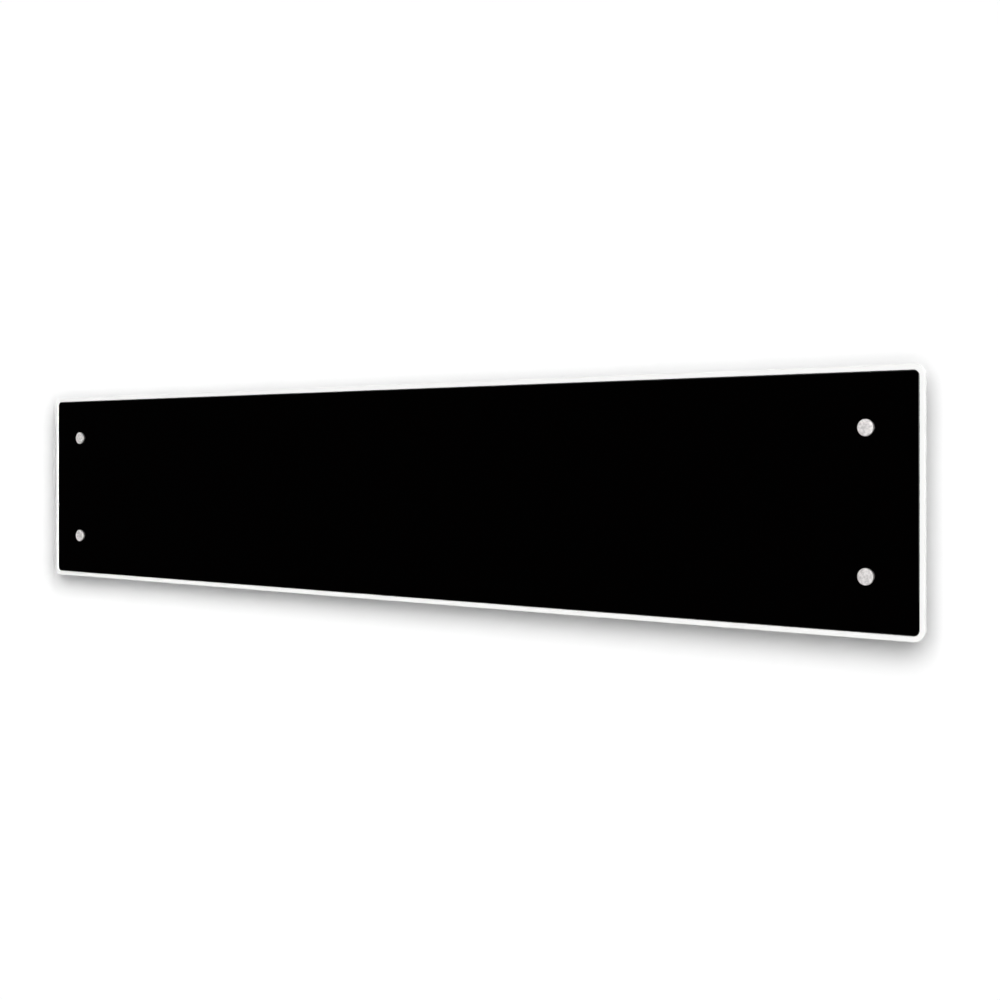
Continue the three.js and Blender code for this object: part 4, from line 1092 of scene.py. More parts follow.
@dataclass
class GlassFront(Assembly):
    """The black pane, the white tray round it and the four caps that hold it.

    fixing is how far the caps stand from the middle, across and up. cap_bore is a radius and a
    depth. crown_shares are points on the crown: how far out, as a share of the cap's radius, and
    how far down, as a share of the crown's height. groove_shares are the groove's radii as shares
    of the cap's.
    """

    pane_size: Flat = (1130.0, 210.0)
    pane_radius: float = 5.0
    pane_front: float = -80.0
    pane_back: float = -76.0
    arris: float = 0.5
    hole_radius: float = 5.0
    fixing: Flat = (520.0, 60.0)
    pocket_gap: float = 0.3
    floor_front: float = -74.9
    floor_back: float = -73.9
    rim_front: float = -80.3
    rim_inner_round: float = 0.25
    rim_round: float = 0.6
    rim_width: float = 4.7
    rim_back: float = -77.3
    sheet: float = 1.0
    stud_hole: float = 2.8
    stud_hole_sides: int = 20
    corner_steps: int = 10
    cap_radius: float = 7.0
    cap_front: float = -82.0
    cap_round: float = 0.5
    cap_bore: Flat = (4.3, 1.2)
    cap_chamfer: float = 0.2
    cap_crown: float = 0.1
    crown_shares: tuple[Flat, ...] = ((0.3, 0.1), (0.6, 0.4))
    groove_shares: Flat = (0.83, 0.865)
    groove_depth: float = 0.12
    groove_slopes: Flat = (0.15, 0.1)
    cap_sides: int = 64
    cap_smooth: float = math.radians(28)

    def build(self) -> None:
        """Build the pane, the tray and the caps."""
        self.pane()
        self.tray()
        self.caps()

    def fixings(self) -> list[Flat]:
        """Give the four fixing places."""
        across, up = self.fixing
        return [(x, z) for x in (-across, across) for z in (-up, up)]

    def pane(self) -> None:
        """Cut the pane with round corners, ground edges and four holes."""
        outlines = [rounded_box(*self.pane_size, self.pane_radius, self.corner_steps)]
        outlines += [circle(self.hole_radius, place) for place in self.fixings()]
        shape = Shape.plate(outlines, -self.pane_back, -self.pane_front, self.arris, steps=3)
        self.dress(shape.facing(Facing.FRONT), "glass_pane", Finishes.PANE, "glass_front")

    def ring(self, out: float, depth: float) -> list[Vector]:
        """Give the pocket's outline, grown or shrunk.

        Args:
            out: How far it is grown outwards.
            depth: Where it lies along Y.

        Returns:
            The outline's points.
        """
        width, height = (side + 2 * (self.pocket_gap + out) for side in self.pane_size)
        radius = self.pane_radius + self.pocket_gap + out
        outline = rounded_box(width, height, radius, self.corner_steps)
        return [Vector((x, depth, z)) for x, z in outline]

    def rim_profile(self) -> list[Flat]:
        """Give the rim's section.

        Returns:
            (outwards, depth) points, from the floor's front round to its back.
        """
        small, wide = self.rim_inner_round, self.rim_round
        outer, inner = self.rim_width, self.rim_width - self.sheet
        front, back, bend = self.rim_front, self.rim_back, self.sheet
        lip = front + bend
        profile = [(0.0, self.floor_front)]
        profile += arc((small, front + small), small, 180, 270, steps=3)
        profile += arc((outer - wide, front + wide), wide, 270, 360, steps=8)
        profile += arc((outer - small, back - small), small, 0, 90, steps=2)
        profile += arc((inner + small, back - small), small, 90, 180, steps=2)
        profile += arc((outer - 2 * bend, lip + bend), bend, 360, 270, steps=4)
        profile += [(bend, lip)]
        profile += arc((0.0, self.floor_back - bend), bend, 0, 90, steps=4)
        return profile

    def tray(self) -> None:
        """Fold the tray: its rim runs round the pocket and its floor closes it."""
        shape = Shape()
        verts = shape.mesh.verts
        rings = [self.ring(out, depth) for out, depth in self.rim_profile()]
        loops = [[verts.new(point) for point in ring] for ring in rings]
        for low, high in zip(loops, loops[1:]):
            shape.bridge(low, high)
        holes = [[], []]
        for place in self.fixings():
            outline = circle(self.stud_hole, place, self.stud_hole_sides)
            for side, depth in zip(holes, (self.floor_front, self.floor_back)):
                side.append([verts.new((x, depth, z)) for x, z in outline])
        for front, back in zip(*holes):
            shape.bridge(front, back)
        for outer, inner in ((loops[0], holes[0]), (loops[-1], holes[1])):
            edges = [outer, *inner]
            flat = [vert for loop in edges for vert in loop]
            for corners in tessellate_polygon([[v.co.xzy for v in loop] for loop in edges]):
                shape.mesh.faces.new([flat[i] for i in corners])
        self.dress(shape.outward(), "front_tray_folded", Finishes.WHITE_PAINT, "front_tray")

    def cap_profile(self) -> list[Flat]:
        """Give a cap's section: a low crown inside a turned groove, a round rim and a bore.

        Returns:
            (radius, out) points, from the middle of the face round to the middle of the bore.
        """
        radius, edge, chamfer = self.cap_radius, self.cap_round, self.cap_chamfer
        height = self.pane_front - self.cap_front
        bore, bore_depth = self.cap_bore
        land = height - self.cap_crown
        groove = land - self.groove_depth
        groove_in, groove_out = (share * radius for share in self.groove_shares)
        slope_in, slope_out = self.groove_slopes
        profile = [(0.0, height)]
        for across, drop in self.crown_shares:
            profile.append((across * radius, height - drop * self.cap_crown))
        profile += [(groove_in - slope_in, land), (groove_in, groove)]
        profile += [(groove_out, groove), (groove_out + slope_out, land)]
        profile += arc((radius - edge, land - edge), edge, 90, 0, steps=7)[1:]
        profile += [(radius, chamfer), (radius - chamfer, 0.0)]
        return profile + [(bore, 0.0), (bore, bore_depth), (0.0, bore_depth)]

    def caps(self) -> None:
        """Turn one cap, note each point's place about its axis and copy it to the fixings."""
        shape = Shape.turned(self.cap_profile(), self.cap_sides)
        shape.facing(Facing.FRONT, (0, self.pane_front, 0))
        cap = shape.piece("glass_caps", Finishes.CAP, self.cap_smooth)
        place = cap.data.attributes.new("turn_place", "FLOAT_VECTOR", "POINT")
        for vert, item in zip(cap.data.vertices, place.data):
            item.vector = (vert.co.x, 0.0, vert.co.z)
        across, up = self.fixing
        Repeat.corners().run(cap, Width=2 * across, Height=2 * up)
        corners = ("top_left", "top_right", "bottom_left", "bottom_right")
        self.settle(cap, Finishes.CAP, *(f"glass_cap_{corner}" for corner in corners))


@dataclass
class Sheetwork(Assembly):
    """Folded sheet parts whose CAD shape stays, with their cut edges eased."""

    finish: Finishes = Finishes.WHITE_PAINT
    nodes: tuple[str, ...] = ("rear_casing", "end_panel_left", "end_panel_right")
    edge: float = 0.22
    steps: int = 2

    def build(self) -> None:
        """Ease the edges of each part."""
        for node in self.nodes:
            shape = Shape.copy_of(node).softened(self.edge, self.steps)
            self.dress(shape, f"{node}_eased", self.finish, node)


@dataclass
class CasingScrews(Assembly):
    """Four cross-recess screws that hold the casing's flanges to the tray.

    spacing is from screw to screw, across and up. recess is the cross's reach and half width,
    and shank a radius and the tip's height over the seat.
    """

    spacing: Flat = (800.0, 199.0)
    seat: float = -72.9
    head_radius: float = 3.5
    head_height: float = 1.8
    head_round: float = 0.28
    recess_depth: float = 0.9
    recess: Flat = (1.7, 0.42)
    shells_overlap: float = 0.3
    shank: Flat = (1.7, -1.7)
    sides: int = 40

    def build(self) -> None:
        """Make one screw and copy it to the four places."""
        radius, (shank, tip) = self.head_radius, self.shank
        step = self.head_height - self.recess_depth
        low = [(0.0, tip), (shank, tip), (shank, 0.0), (radius, 0.0), (radius, step), (0.0, step)]
        outlines = [circle(radius, sides=self.sides), cross(*self.recess)]
        start = step - self.shells_overlap
        crown = Shape.plate(outlines, start, self.head_height, self.head_round, steps=3)
        shape = Shape.turned(low, self.sides).with_these(crown)
        shape.facing(Facing.BACK, (0, self.seat, 0))
        screws = shape.piece("casing_screw_heads", Finishes.ZINC)
        width, height = self.spacing
        Repeat.corners().run(screws, Width=width, Height=height)
        self.settle(screws, Finishes.ZINC, *(f"casing_screw_{i}" for i in range(1, 5)))


@dataclass
class TopGrille(Assembly):
    """The outlet grille: a flanged frame, four leaning vanes and the ribs that stiffen them.

    middle and opening are along X and Y, and vane_lean is in degrees. vane_seat is how far each
    end of a vane goes into the frame.
    """

    finish: Finishes = Finishes.WHITE_PAINT
    middle: Flat = (-73.5, -48.45)
    opening: Flat = (862.4, 35.3)
    opening_radius: float = 1.6
    wall: float = 1.2
    flange: float = 4.0
    flange_top: float = 96.0
    flange_under: float = 95.0
    bottom: float = 87.0
    vane_count: int = 4
    vane_thickness: float = 1.2
    vane_lean: float = 35.0
    vane_seat: float = 0.2
    rib_count: int = 11
    rib_thickness: float = 1.5
    rib_round: float = 0.3
    edge: float = 0.25

    def frame_section(self) -> list[Flat]:
        """Give the frame's section.

        Returns:
            (outwards, height) points, anticlockwise from the wall's inner foot.
        """
        edge, top, low = self.edge, self.flange_top - self.edge, self.bottom + self.edge
        inner, outer = -self.wall + edge, self.flange - edge
        under = self.flange_under
        section = arc((inner, low), edge, 180, 270, steps=2)
        section += arc((-edge, low), edge, 270, 360, steps=2)
        section += [(0.0, under)]
        section += arc((outer, under + edge), edge, 270, 360, steps=2)
        section += arc((outer, top), edge, 0, 90, steps=3)
        return section + arc((inner, top), edge, 90, 180, steps=3)

    def frame(self) -> Shape:
        """Loft the frame round the opening.

        Returns:
            The frame's shape.
        """
        rings = []
        for out, height in self.frame_section():
            width, depth = (side + 2 * out for side in self.opening)
            radius = self.opening_radius + out / 2
            outline = rounded_box(width, depth, radius, steps=4, middle=self.middle)
            rings.append([Vector((x, y, height)) for x, y in outline])
        return Shape.loft(rings)

    def vanes(self) -> Shape:
        """Copy one leaning round-edged vane across the opening.

        Returns:
            All the vanes' shape.
        """
        half, lean = self.vane_thickness / 2, self.vane_lean
        low, high = self.bottom + self.vane_thickness + half, self.flange_under - half
        slope = math.tan(math.radians(lean)) * (high - low) / 2
        section = arc((slope, low), half, 180 + lean, 360 + lean, steps=5)
        section += arc((-slope, high), half, lean, 180 + lean, steps=5)
        length = self.opening[0] - 2 * self.wall + 2 * self.vane_seat
        vane = Shape.plate([section], -length / 2, length / 2)
        vane.facing(Facing.RIGHT, (self.middle[0], 0, 0))
        pitch = (self.opening[1] - 2 * self.wall) / self.vane_count
        middle = (0, self.middle[1], 0)
        return vane.in_a_row(self.finish, middle, (0, pitch, 0), self.vane_count)

    def ribs(self) -> Shape:
        """Copy one upright rib along the opening.

        Returns:
            All the ribs' shape.
        """
        depth = self.opening[1] - self.wall
        low, high = self.bottom, self.flange_under - self.vane_thickness / 2
        centre = (self.middle[1], (high + low) / 2)
        section = rounded_box(depth, high - low, self.rib_round, steps=2, middle=centre)
        half = self.rib_thickness / 2
        rib = Shape.plate([section], -half, half, self.edge, steps=1).facing(Facing.RIGHT)
        pitch = (self.opening[0] - 2 * self.wall) / (self.rib_count + 1)
        middle = (self.middle[0], 0, 0)
        return rib.in_a_row(self.finish, middle, (pitch, 0, 0), self.rib_count)

    def build(self) -> None:
        """Join frame, vanes and ribs into one grille."""
        shape = self.frame().with_these(self.vanes(), self.ribs())
        self.dress(shape, "outlet_grille", self.finish, "top_grille")


@dataclass
class FinnedElement(Assembly):
    """The heating element: a bored core with waisted fins all along it.

    ends are where the core ends along X. fin_half is half of a fin's depth and height, and
    waist_share how much of that depth its waist keeps.
    """

    ends: Flat = (-460.0, 290.0)
    middle_y: float = -45.55
    core_radius: float = 8.0
    core_sides: int = 32
    bore_radius: float = 4.3
    bare_end: float = 12.0
    fin_half: Flat = (15.05, 32.0)
    waist_share: float = 0.66
    fin_thickness: float = 0.6
    fin_pitch: float = 5.0

    def fin(self) -> Outline:
        """Outline one fin, pulled in at its waist.

        Returns:
            (depth, height) points, anticlockwise.
        """
        depth, height = self.fin_half
        waist = depth * self.waist_share
        left = [(-depth, height), (-waist, 0.0), (-depth, -height)]
        return [(depth, height), *left, (depth, -height), (waist, 0.0)]

    def fins(self) -> Shape:
        """Copy one fin along the core.

        Returns:
            All the fins' shape.
        """
        left, right = self.ends
        half, pitch = self.fin_thickness / 2, self.fin_pitch
        count = int((right - left - 2 * self.bare_end) / pitch) + 1
        fin = Shape.plate([self.fin()], -half, half)
        fin.facing(Facing.RIGHT, (0, self.middle_y, 0))
        middle = ((left + right) / 2, 0, 0)
        return fin.in_a_row(Finishes.MILL, middle, (pitch, 0, 0), count)

    def build(self) -> None:
        """Make the core with its bore and add the fins."""
        left, right = self.ends
        core = [(self.core_radius, left), (self.core_radius, right)]
        core += [(self.bore_radius, right), (self.bore_radius, left)]
        shape = Shape.turned(core, self.core_sides)
        shape.facing(Facing.RIGHT, (0, self.middle_y, 0)).with_these(self.fins())
        self.dress(shape, "finned_element", Finishes.MILL, "heating_element")


class Mark(Enum):
    """What a control button does, in the order in which the buttons stand."""

    MINUS = "minus"
    MODE = "mode"
    PLUS = "plus"


@dataclass
class ControlPanel(Assembly):
    """The control housing at the right end of the top, its window and three buttons.

    middle is along X and Y. flange is the heights of a button flange's underside and top, and
    stem a button stem's radius and the height of its foot. bar is a raised bar's length and width.
    """

    middle: Flat = (455.0, -48.45)
    housing_edge: float = 0.3
    bezel_top: float = 96.5
    window_offset: float = 30.0
    window_size: Flat = (36.0, 16.0)
    window_radius: float = 0.5
    window_thickness: float = 1.0
    window_edge: float = 0.2
    button_offsets: tuple[float, ...] = (-38.0, -20.0, -2.0)
    button_size: Flat = (12.0, 8.0)
    button_radius: float = 2.0
    button_edge: float = 0.55
    button_top: float = 97.7
    flange: Flat = (93.7, 94.7)
    flange_size: Flat = (15.0, 11.0)
    flange_edge: float = 0.1
    stem: Flat = (1.5, 87.1)
    stem_sides: int = 24
    bar: Flat = (4.4, 0.9)
    bar_radius: float = 0.4
    ring_radii: tuple[float, ...] = (2.0, 1.45, 0.7)

    def build(self) -> None:
        """Build the housing, the window and the buttons."""
        black = Finishes.BLACK_PLASTIC
        housing = Shape.copy_of("control_housing").softened(self.housing_edge, steps=3)
        self.dress(housing, "control_housing_moulded", black, "control_housing")
        self.window()
        for mark, offset in zip(Mark, self.button_offsets):
            self.button(mark, offset)

    def window(self) -> None:
        """Set the dark window flush in the bezel."""
        outline = rounded_box(*self.window_size, self.window_radius, steps=4)
        pane = Shape.plate([outline], -self.window_thickness, 0.0, self.window_edge, steps=2)
        x, y = self.middle
        pane.facing(Facing.UP, (x + self.window_offset, y, self.bezel_top))
        self.dress(pane, "display_window_pane", Finishes.DISPLAY, "display_window")

    def outlines(self, mark: Mark) -> list[Outline]:
        """Outline a mark about its button's middle.

        Args:
            mark: What the button does.

        Returns:
            A bar, an upright cross, or a ring round a dot.
        """
        length, width = self.bar
        if mark is Mark.MODE:
            return [circle(radius) for radius in self.ring_radii]
        if mark is Mark.MINUS:
            return [rounded_box(length, width, self.bar_radius, steps=4)]
        return [cross(length / 2, width / 2)]

    def button(self, mark: Mark, offset: float) -> None:
        """Mould one button with its flange, stem and raised mark.

        Args:
            mark: What the button does.
            offset: How far right of the panel's middle it stands.
        """
        (low, high), (stem_radius, foot) = self.flange, self.stem
        top = rounded_box(*self.button_size, self.button_radius, steps=6)
        shape = Shape.plate([top], low, self.button_top, self.button_edge, steps=4)
        outline = rounded_box(*self.flange_size, self.button_radius, steps=4)
        flange = Shape.plate([outline], low, high, self.flange_edge, steps=1)
        section = [(0.0, foot), (stem_radius, foot), (stem_radius, high), (0.0, high)]
        shape.with_these(flange, Shape.turned(section, self.stem_sides))
        place = (self.middle[0] + offset, self.middle[1], 0)
        name, body, grey = mark.value, f"{mark.value}_key", Finishes.GREY_PLASTIC
        button = shape.facing(Facing.UP, place)
        self.dress(button, f"button_{name}_moulded", grey, f"button_{name}", body=body)
        raised = Shape.mark(self.outlines(mark), self.button_top).facing(Facing.UP, place)
        self.dress(raised, f"mark_{name}", Finishes.MARK, body=body)


@dataclass
class PowerSwitch(Assembly):
    """The rocker switch in the right end panel.

    pivot is a point on the rocker's axis, and valley how far from it the middle of the rocker's
    face lies. mark_share is where along each half its mark stands.
    """

    pivot: Place = (530.5, -48.45, -45.0)
    tilt: float = math.radians(12)
    valley: float = 3.0
    half_length: float = 8.0
    body_edge: float = 0.3
    rocker_edge: float = 0.35
    mark_share: float = 0.55
    on_bar: Flat = (0.9, 4.2)
    on_bar_radius: float = 0.4
    off_ring: Flat = (1.9, 1.25)

    def build(self) -> None:
        """Build the body, the rocker and the marks on its two halves."""
        black, grey = Finishes.BLACK_PLASTIC, Finishes.GREY_PLASTIC
        body = Shape.copy_of("switch_body").softened(self.body_edge, steps=3)
        self.dress(body, "switch_body_moulded", black, "switch_body")
        rocker = Shape.copy_of("power_rocker").softened(self.rocker_edge, steps=3)
        self.dress(rocker, "power_rocker_moulded", grey, "power_rocker", body="rocker")
        self.mark("on", 1, [rounded_box(*self.on_bar, self.on_bar_radius, steps=3)])
        self.mark("off", -1, [circle(radius) for radius in self.off_ring])

    def mark(self, name: str, side: int, outlines: list[Outline]) -> None:
        """Raise a mark on one half of the rocker.

        Args:
            name: What the half does.
            side: 1 for the upper half and -1 for the lower.
            outlines: The mark about its own middle.
        """
        up = self.half_length * self.mark_share
        raised = Shape.mark(outlines, 0.0).facing(Facing.RIGHT)
        raised.moved(
            Matrix.Rotation(side * self.tilt, 4, "Y"),
            Matrix.Translation((self.valley + up * math.tan(self.tilt), 0, side * up)),
            Matrix.Rotation(self.tilt, 4, "Y"),
            Matrix.Translation(self.pivot),
        )
        self.dress(raised, f"rocker_mark_{name}", Finishes.MARK, body="rocker")


@dataclass
class CableGland(Assembly):
    """The gland under the right end: a threaded neck, a flange and a ribbed dome.

    middle is along X and Y. neck, flange and dome are each a radius and a height: that of the
    neck's top, of the flange's underside and of the dome's foot. bore_chamfers are the bore's
    upper and lower chamfer.
    """

    middle: Flat = (455.0, -48.45)
    bore: float = 3.6
    bore_chamfers: Flat = (0.3, 0.4)
    neck: Flat = (6.0, -89.0)
    thread_pitch: float = 1.25
    thread_depth: float = 0.45
    seat: float = -95.0
    flange: Flat = (9.0, -97.0)
    flange_round: float = 0.3
    dome: Flat = (7.1, -104.0)
    dome_round: float = 1.5
    sides: int = 56
    rib_count: int = 28
    rib_width: float = 1.2
    rib_proud: float = 0.4
    rib_sunk: float = 0.5
    rib_round: float = 0.3
    rib_edge: float = 0.25
    rib_gap: float = 0.4

    def profile(self) -> list[Flat]:
        """Give the gland's section.

        Returns:
            (radius, height) points, from the bore's upper end over the neck to its lower end.
        """
        crest, top = self.neck
        root = crest - self.thread_depth
        upper, lower = self.bore_chamfers
        points = [(self.bore, top - upper), (self.bore + upper, top), (root, top)]
        height = top
        while height - self.thread_pitch > self.seat:
            points.append((crest, height - self.thread_pitch / 2))
            height -= self.thread_pitch
            points.append((root, height))
        flange_radius, flange_low = self.flange
        bend = self.flange_round
        points += [(root, self.seat)]
        points += arc((flange_radius - bend, self.seat - bend), bend, 90, 0, steps=2)
        points += arc((flange_radius - bend, flange_low + bend), bend, 0, -90, steps=2)
        dome_radius, low = self.dome
        bend = self.dome_round
        points += [(dome_radius, flange_low)]
        points += arc((dome_radius - bend, low + bend), bend, 0, -90, steps=6)
        return points + [(self.bore + lower, low), (self.bore, low + lower)]

    def ribs(self) -> Shape:
        """Set the grip ribs round the dome.

        Returns:
            All the ribs' shape.
        """
        radius, foot = self.dome
        low, high = foot + self.dome_round, self.flange[1] - self.rib_gap
        middle = (0, (low + high) / 2)
        section = rounded_box(self.rib_width, high - low, self.rib_round, steps=2, middle=middle)
        start, end = radius - self.rib_sunk, radius + self.rib_proud
        rib = Shape.plate([section], start, end, self.rib_edge, steps=1).facing(Facing.RIGHT)
        centre = (*self.middle, 0.0)
        return rib.repeated(
            Finishes.BLACK_PLASTIC, Repeat.ring(), Centre=centre, Count=self.rib_count
        )

    def build(self) -> None:
        """Turn the gland and add its ribs."""
        ribs = self.ribs()
        shape = Shape.turned(self.profile(), self.sides).facing(Facing.UP, (*self.middle, 0))
        shape.with_these(ribs)
        self.dress(shape, "gland_body", Finishes.BLACK_PLASTIC, "cable_gland")


@dataclass
class InnerParts(Assembly):
    """The parts inside the casing: their CAD shapes with edges eased and rounds shaded round.

    edges holds the start of each kind of node's name and how far its edges are rounded.
    """

    edges: tuple[tuple[str, float], ...] = (
        ("bedding_strip", 0.3), ("glass_grommet", 0.25), ("glass_stud", 0.25),
        ("element_bush", 0.4), ("element_rod", 0.3), ("element_bracket", 0.2),
        ("heat_shield", 0.15), ("partition", 0.2), ("thermal_cutout", 0.3), ("relay", 0.5),
        ("terminal_block", 0.4), ("wireless_module", 0.35), ("display_module", 0.25),
        ("control_board", 0.12), ("power_board", 0.12), ("gland_nut", 0.35),
        ("sensor_clip", 0.2), ("room_sensor", 0.3), ("lead", 0.0),
    )
    steps: int = 2
    smooth: float = math.radians(50)

    def build(self) -> None:
        """Ease each part of the listed kinds, in its own slot's finish."""
        for part in frame["record"]["subparts"]:
            node = part["node"]
            edge = next((size for kind, size in self.edges if node.startswith(kind)), None)
            if edge is None:
                continue
            shape = Shape.copy_of(node)
            if edge:
                shape.softened(edge, self.steps)
            finish = Finishes.for_slot(part["material_slot"])
            self.dress(shape, f"{node}_eased", finish, node, smooth=self.smooth)


@dataclass(frozen=True)
class SoftLamp:
    """A square lamp that faces the heater: its name, place, side in metres and watts."""

    name: str
    place: Place
    size: float
    power: float


@dataclass
class Room:
    """The wall, the floor, the lamps and the camera, in metres.

    floor_reach is how far the floor goes to the front and to the back. sky_rise are the rises of
    a ray between which the sky brightens, where 0 is level and 1 straight up, and sky_strength
    its strengths there. key_widest is the cosine of the widest angle, off straight at the wall,
    that a key lamp is graded for.
    """

    wall_size: Flat = (8.0, 5.0)
    wall_offset: float = 0.0006
    wall_tone: float = 0.98
    wall_glow: float = 0.02
    floor_drop: float = 1.0
    floor_reach: Flat = (1.5, 3.2)
    floor_tone: float = 0.42
    floor_glow: float = 0.4
    sky_rise: Flat = (0.13, 0.4)
    sky_strength: Flat = (0.004, 1.2)
    fill: float = 0.05
    camera_place: Place = (1.0552, -1.2194, 0.0356)
    camera_yaw: float = 38.695
    lens: float = 54.743
    shift_up: float = -0.0421
    key_names: tuple[str, str] = ("key_low", "key_high")
    key_rises: Flat = (0.03, 0.23)
    key_radius: float = 0.265
    key_power: float = 19.8
    key_widest: float = 0.5
    soft_target: Place = (0.0, -0.05, 0.0)
    direct_depth: float = 1.5
    soft_lamps: tuple[SoftLamp, ...] = (
        SoftLamp("above", (0.0, 0.7, 2.6), 1.6, 30.0),
        SoftLamp("left_end", (-2.6, 0.5, 0.3), 1.2, 28.0),
        SoftLamp("right_end", (2.6, 0.5, 0.3), 1.2, 16.0),
        SoftLamp("behind", (0.9, 3.0, 1.3), 1.4, 48.0),
        SoftLamp("below", (-0.3, 0.9, -2.4), 1.6, 14.0),
    )

    def backdrop(self, name: str, tone: float, glow: float) -> bpy.types.Material:
        """Make a pale one-sided surface that glows a little where it is seen.

        Args:
            name: The material's name.
            tone: How pale it is.
            glow: What it adds for camera, glossy and transmission rays.

        Returns:
            The material.
        """
        made = bpy.data.materials.new(name)
        made.use_nodes = True
        made.cycles.emission_sampling = "NONE"
        made.node_tree.nodes.clear()
        graph = NodeGraph(made.node_tree)
        path = graph.add("ShaderNodeLightPath").outputs
        either = graph.calculate("MAXIMUM", path["Is Camera Ray"], path["Is Glossy Ray"])
        seen = graph.calculate("MAXIMUM", either, path["Is Transmission Ray"])
        plain = graph.fill(graph.add("ShaderNodeBsdfDiffuse"), Color=(tone, tone, tone, 1.0))
        light = graph.add("ShaderNodeEmission")
        graph.fill(light, Strength=graph.calculate("MULTIPLY", seen, glow))
        both = graph.feed(graph.add("ShaderNodeAddShader"), plain.outputs[0], light.outputs[0])
        back = graph.add("ShaderNodeNewGeometry").outputs["Backfacing"]
        clear = graph.add("ShaderNodeBsdfTransparent").outputs[0]
        choice = graph.feed(graph.add("ShaderNodeMixShader"), back, both.outputs[0], clear)
        graph.feed(graph.add("ShaderNodeOutputMaterial"), choice.outputs[0])
        return made

    def sheet(self, name: str, corners: list[Place], material: bpy.types.Material) -> None:
        """Make one flat stage surface that throws no shadow and no light back.

        Args:
            name: The surface's name.
            corners: Its four corners.
            material: What it is dressed in.
        """
        data = bpy.data.meshes.new(name)
        data.from_pydata(corners, [], [(0, 1, 2, 3)])
        data.materials.append(material)
        made = bpy.data.objects.new(name, data)
        bpy.context.scene.collection.objects.link(made)
        made.visible_shadow = False
        made.visible_diffuse = False

    def stage(self) -> None:
        """Put up the wall and lay the floor."""
        half, high = self.wall_size[0] / 2, self.wall_size[1] / 2
        y, drop = self.wall_offset, -self.floor_drop
        wall = [(-half, y, drop), (half, y, drop), (half, y, high), (-half, y, high)]
        white = self.backdrop("wall_white", self.wall_tone, self.wall_glow)
        self.sheet("stage_wall", wall, white)
        front, back = -self.floor_reach[0], self.floor_reach[1]
        floor = [(-half, front, drop), (half, front, drop), (half, back, drop), (-half, back, drop)]
        pale = self.backdrop("floor_pale", self.floor_tone, self.floor_glow)
        self.sheet("stage_floor", floor, pale)

    def world(self) -> None:
        """Light the shade evenly, show white behind the stage and a soft sky in metal."""
        world = bpy.data.worlds.new("studio")
        world.use_nodes = True
        world.cycles.sampling_method = "NONE"
        bpy.context.scene.world = world
        world.node_tree.nodes.clear()
        graph = NodeGraph(world.node_tree)
        path = graph.add("ShaderNodeLightPath").outputs
        glossy = path["Is Glossy Ray"]
        seen = graph.calculate("MAXIMUM", path["Is Camera Ray"], path["Is Transmission Ray"])
        height = graph.axis(graph.add("ShaderNodeTexCoord").outputs["Generated"], "Z")
        sky = graph.add("ShaderNodeMapRange", interpolation_type="SMOOTHSTEP")
        graph.feed(sky, height, *self.sky_rise, *self.sky_strength)
        in_metal = graph.calculate("MULTIPLY", glossy, sky.outputs[0])
        rest = graph.calculate("SUBTRACT", 1.0, graph.calculate("MAXIMUM", seen, glossy))
        shown = graph.calculate("ADD", seen, in_metal)
        strength = graph.calculate("MULTIPLY_ADD", rest, self.fill, shown)
        background = graph.add("ShaderNodeBackground")
        graph.fill(background, Color=(*WHITE, 1.0), Strength=strength)
        graph.feed(graph.add("ShaderNodeOutputWorld"), background.outputs[0])

    def hang(self, lamp: bpy.types.Light, place: Vector) -> None:
        """Set a lamp at its place; a flat one faces the heater.

        Args:
            lamp: The lamp.
            place: Where it hangs.
        """
        holder = bpy.data.objects.new(lamp.name, lamp)
        holder.location = place
        if lamp.type == "AREA":
            way = Vector(self.soft_target) - place
            holder.rotation_euler = way.to_track_quat("-Z", "Y").to_euler()
        bpy.context.scene.collection.objects.link(holder)

    def key_lamp(self, name: str, rise: float) -> None:
        """Hang a key lamp over the camera, graded so that the whole wall is lit alike.

        Args:
            name: The lamp's name.
            rise: How far above the camera it hangs.
        """
        lamp = bpy.data.lights.new(name, "POINT")
        lamp.energy = self.key_power
        lamp.shadow_soft_size = self.key_radius
        lamp.use_nodes = True
        graph = NodeGraph(lamp.node_tree)
        falloff = graph.fill(graph.add("ShaderNodeLightFalloff"), Strength=1.0)
        way = graph.add("ShaderNodeTexCoord").outputs["Normal"]
        towards = graph.calculate("ABSOLUTE", graph.axis(way, "Y"))
        limited = graph.calculate("MAXIMUM", towards, self.key_widest)
        strength = graph.calculate("DIVIDE", falloff.outputs["Constant"], limited)
        graph.fill(graph.first("EMISSION"), Strength=strength)
        self.hang(lamp, Vector(self.camera_place) + Vector((0, 0, rise)))

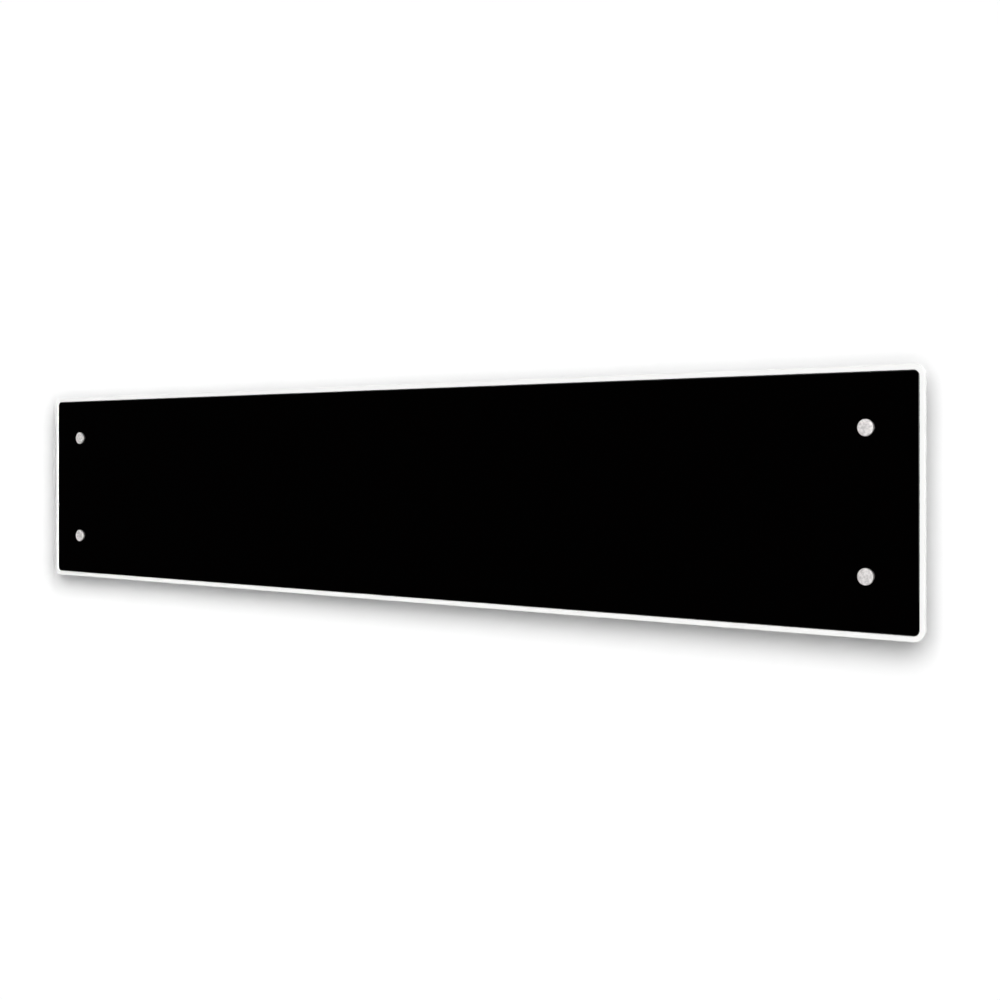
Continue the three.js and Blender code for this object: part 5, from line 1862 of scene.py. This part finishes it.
    def soft_lamp(self, kind: SoftLamp) -> None:
        """Hang a soft lamp that lights only what is seen directly.

        Args:
            kind: The lamp's name, place, size and power.
        """
        lamp = bpy.data.lights.new(kind.name, "AREA")
        lamp.energy = kind.power
        lamp.size = kind.size
        lamp.use_nodes = True
        graph = NodeGraph(lamp.node_tree)
        depth = graph.add("ShaderNodeLightPath").outputs["Ray Depth"]
        direct = graph.calculate("LESS_THAN", depth, self.direct_depth)
        graph.fill(graph.first("EMISSION"), Strength=direct)
        self.hang(lamp, Vector(kind.place))

    def lamps(self) -> None:
        """Hang two keys, one over the other, and the soft lamps round the other sides."""
        for name, rise in zip(self.key_names, self.key_rises):
            self.key_lamp(name, rise)
        for kind in self.soft_lamps:
            self.soft_lamp(kind)

    def camera(self) -> None:
        """Stand the camera where the photograph was taken from."""
        data = bpy.data.cameras.new("camera")
        data.lens = self.lens
        data.shift_y = self.shift_up
        holder = bpy.data.objects.new("camera", data)
        holder.location = self.camera_place
        holder.rotation_euler = Euler((QUARTER, 0, math.radians(self.camera_yaw)))
        bpy.context.scene.collection.objects.link(holder)
        bpy.context.scene.camera = holder

    def build(self) -> None:
        """Build the whole room."""
        self.camera()
        self.stage()
        self.world()
        self.lamps()
        bpy.context.scene.view_settings.view_transform = "Standard"

    def report(self) -> None:
        """Log what the room holds."""
        names = (*self.key_names, *(kind.name for kind in self.soft_lamps))
        LOG.info("Room: camera, wall, floor and the lamps %s", ", ".join(names))


def main() -> None:
    """Build the room, then each sub-assembly in order."""
    logging.basicConfig(level=logging.INFO, format="%(name)s: %(message)s")
    bracket = Sheetwork(
        "wall_mount",
        finish=Finishes.BRACKET_PAINT,
        nodes=("bracket_rail", "bracket_arm_left", "bracket_arm_right"),
        edge=0.3,
    )
    assemblies = (
        Room(), GlassFront(), Sheetwork(), CasingScrews(), TopGrille(), FinnedElement(),
        ControlPanel(), PowerSwitch(), CableGland(), bracket, InnerParts(),
    )
    for assembly in assemblies:
        assembly.build()
        assembly.report()


if __name__ == "__main__":
    main()
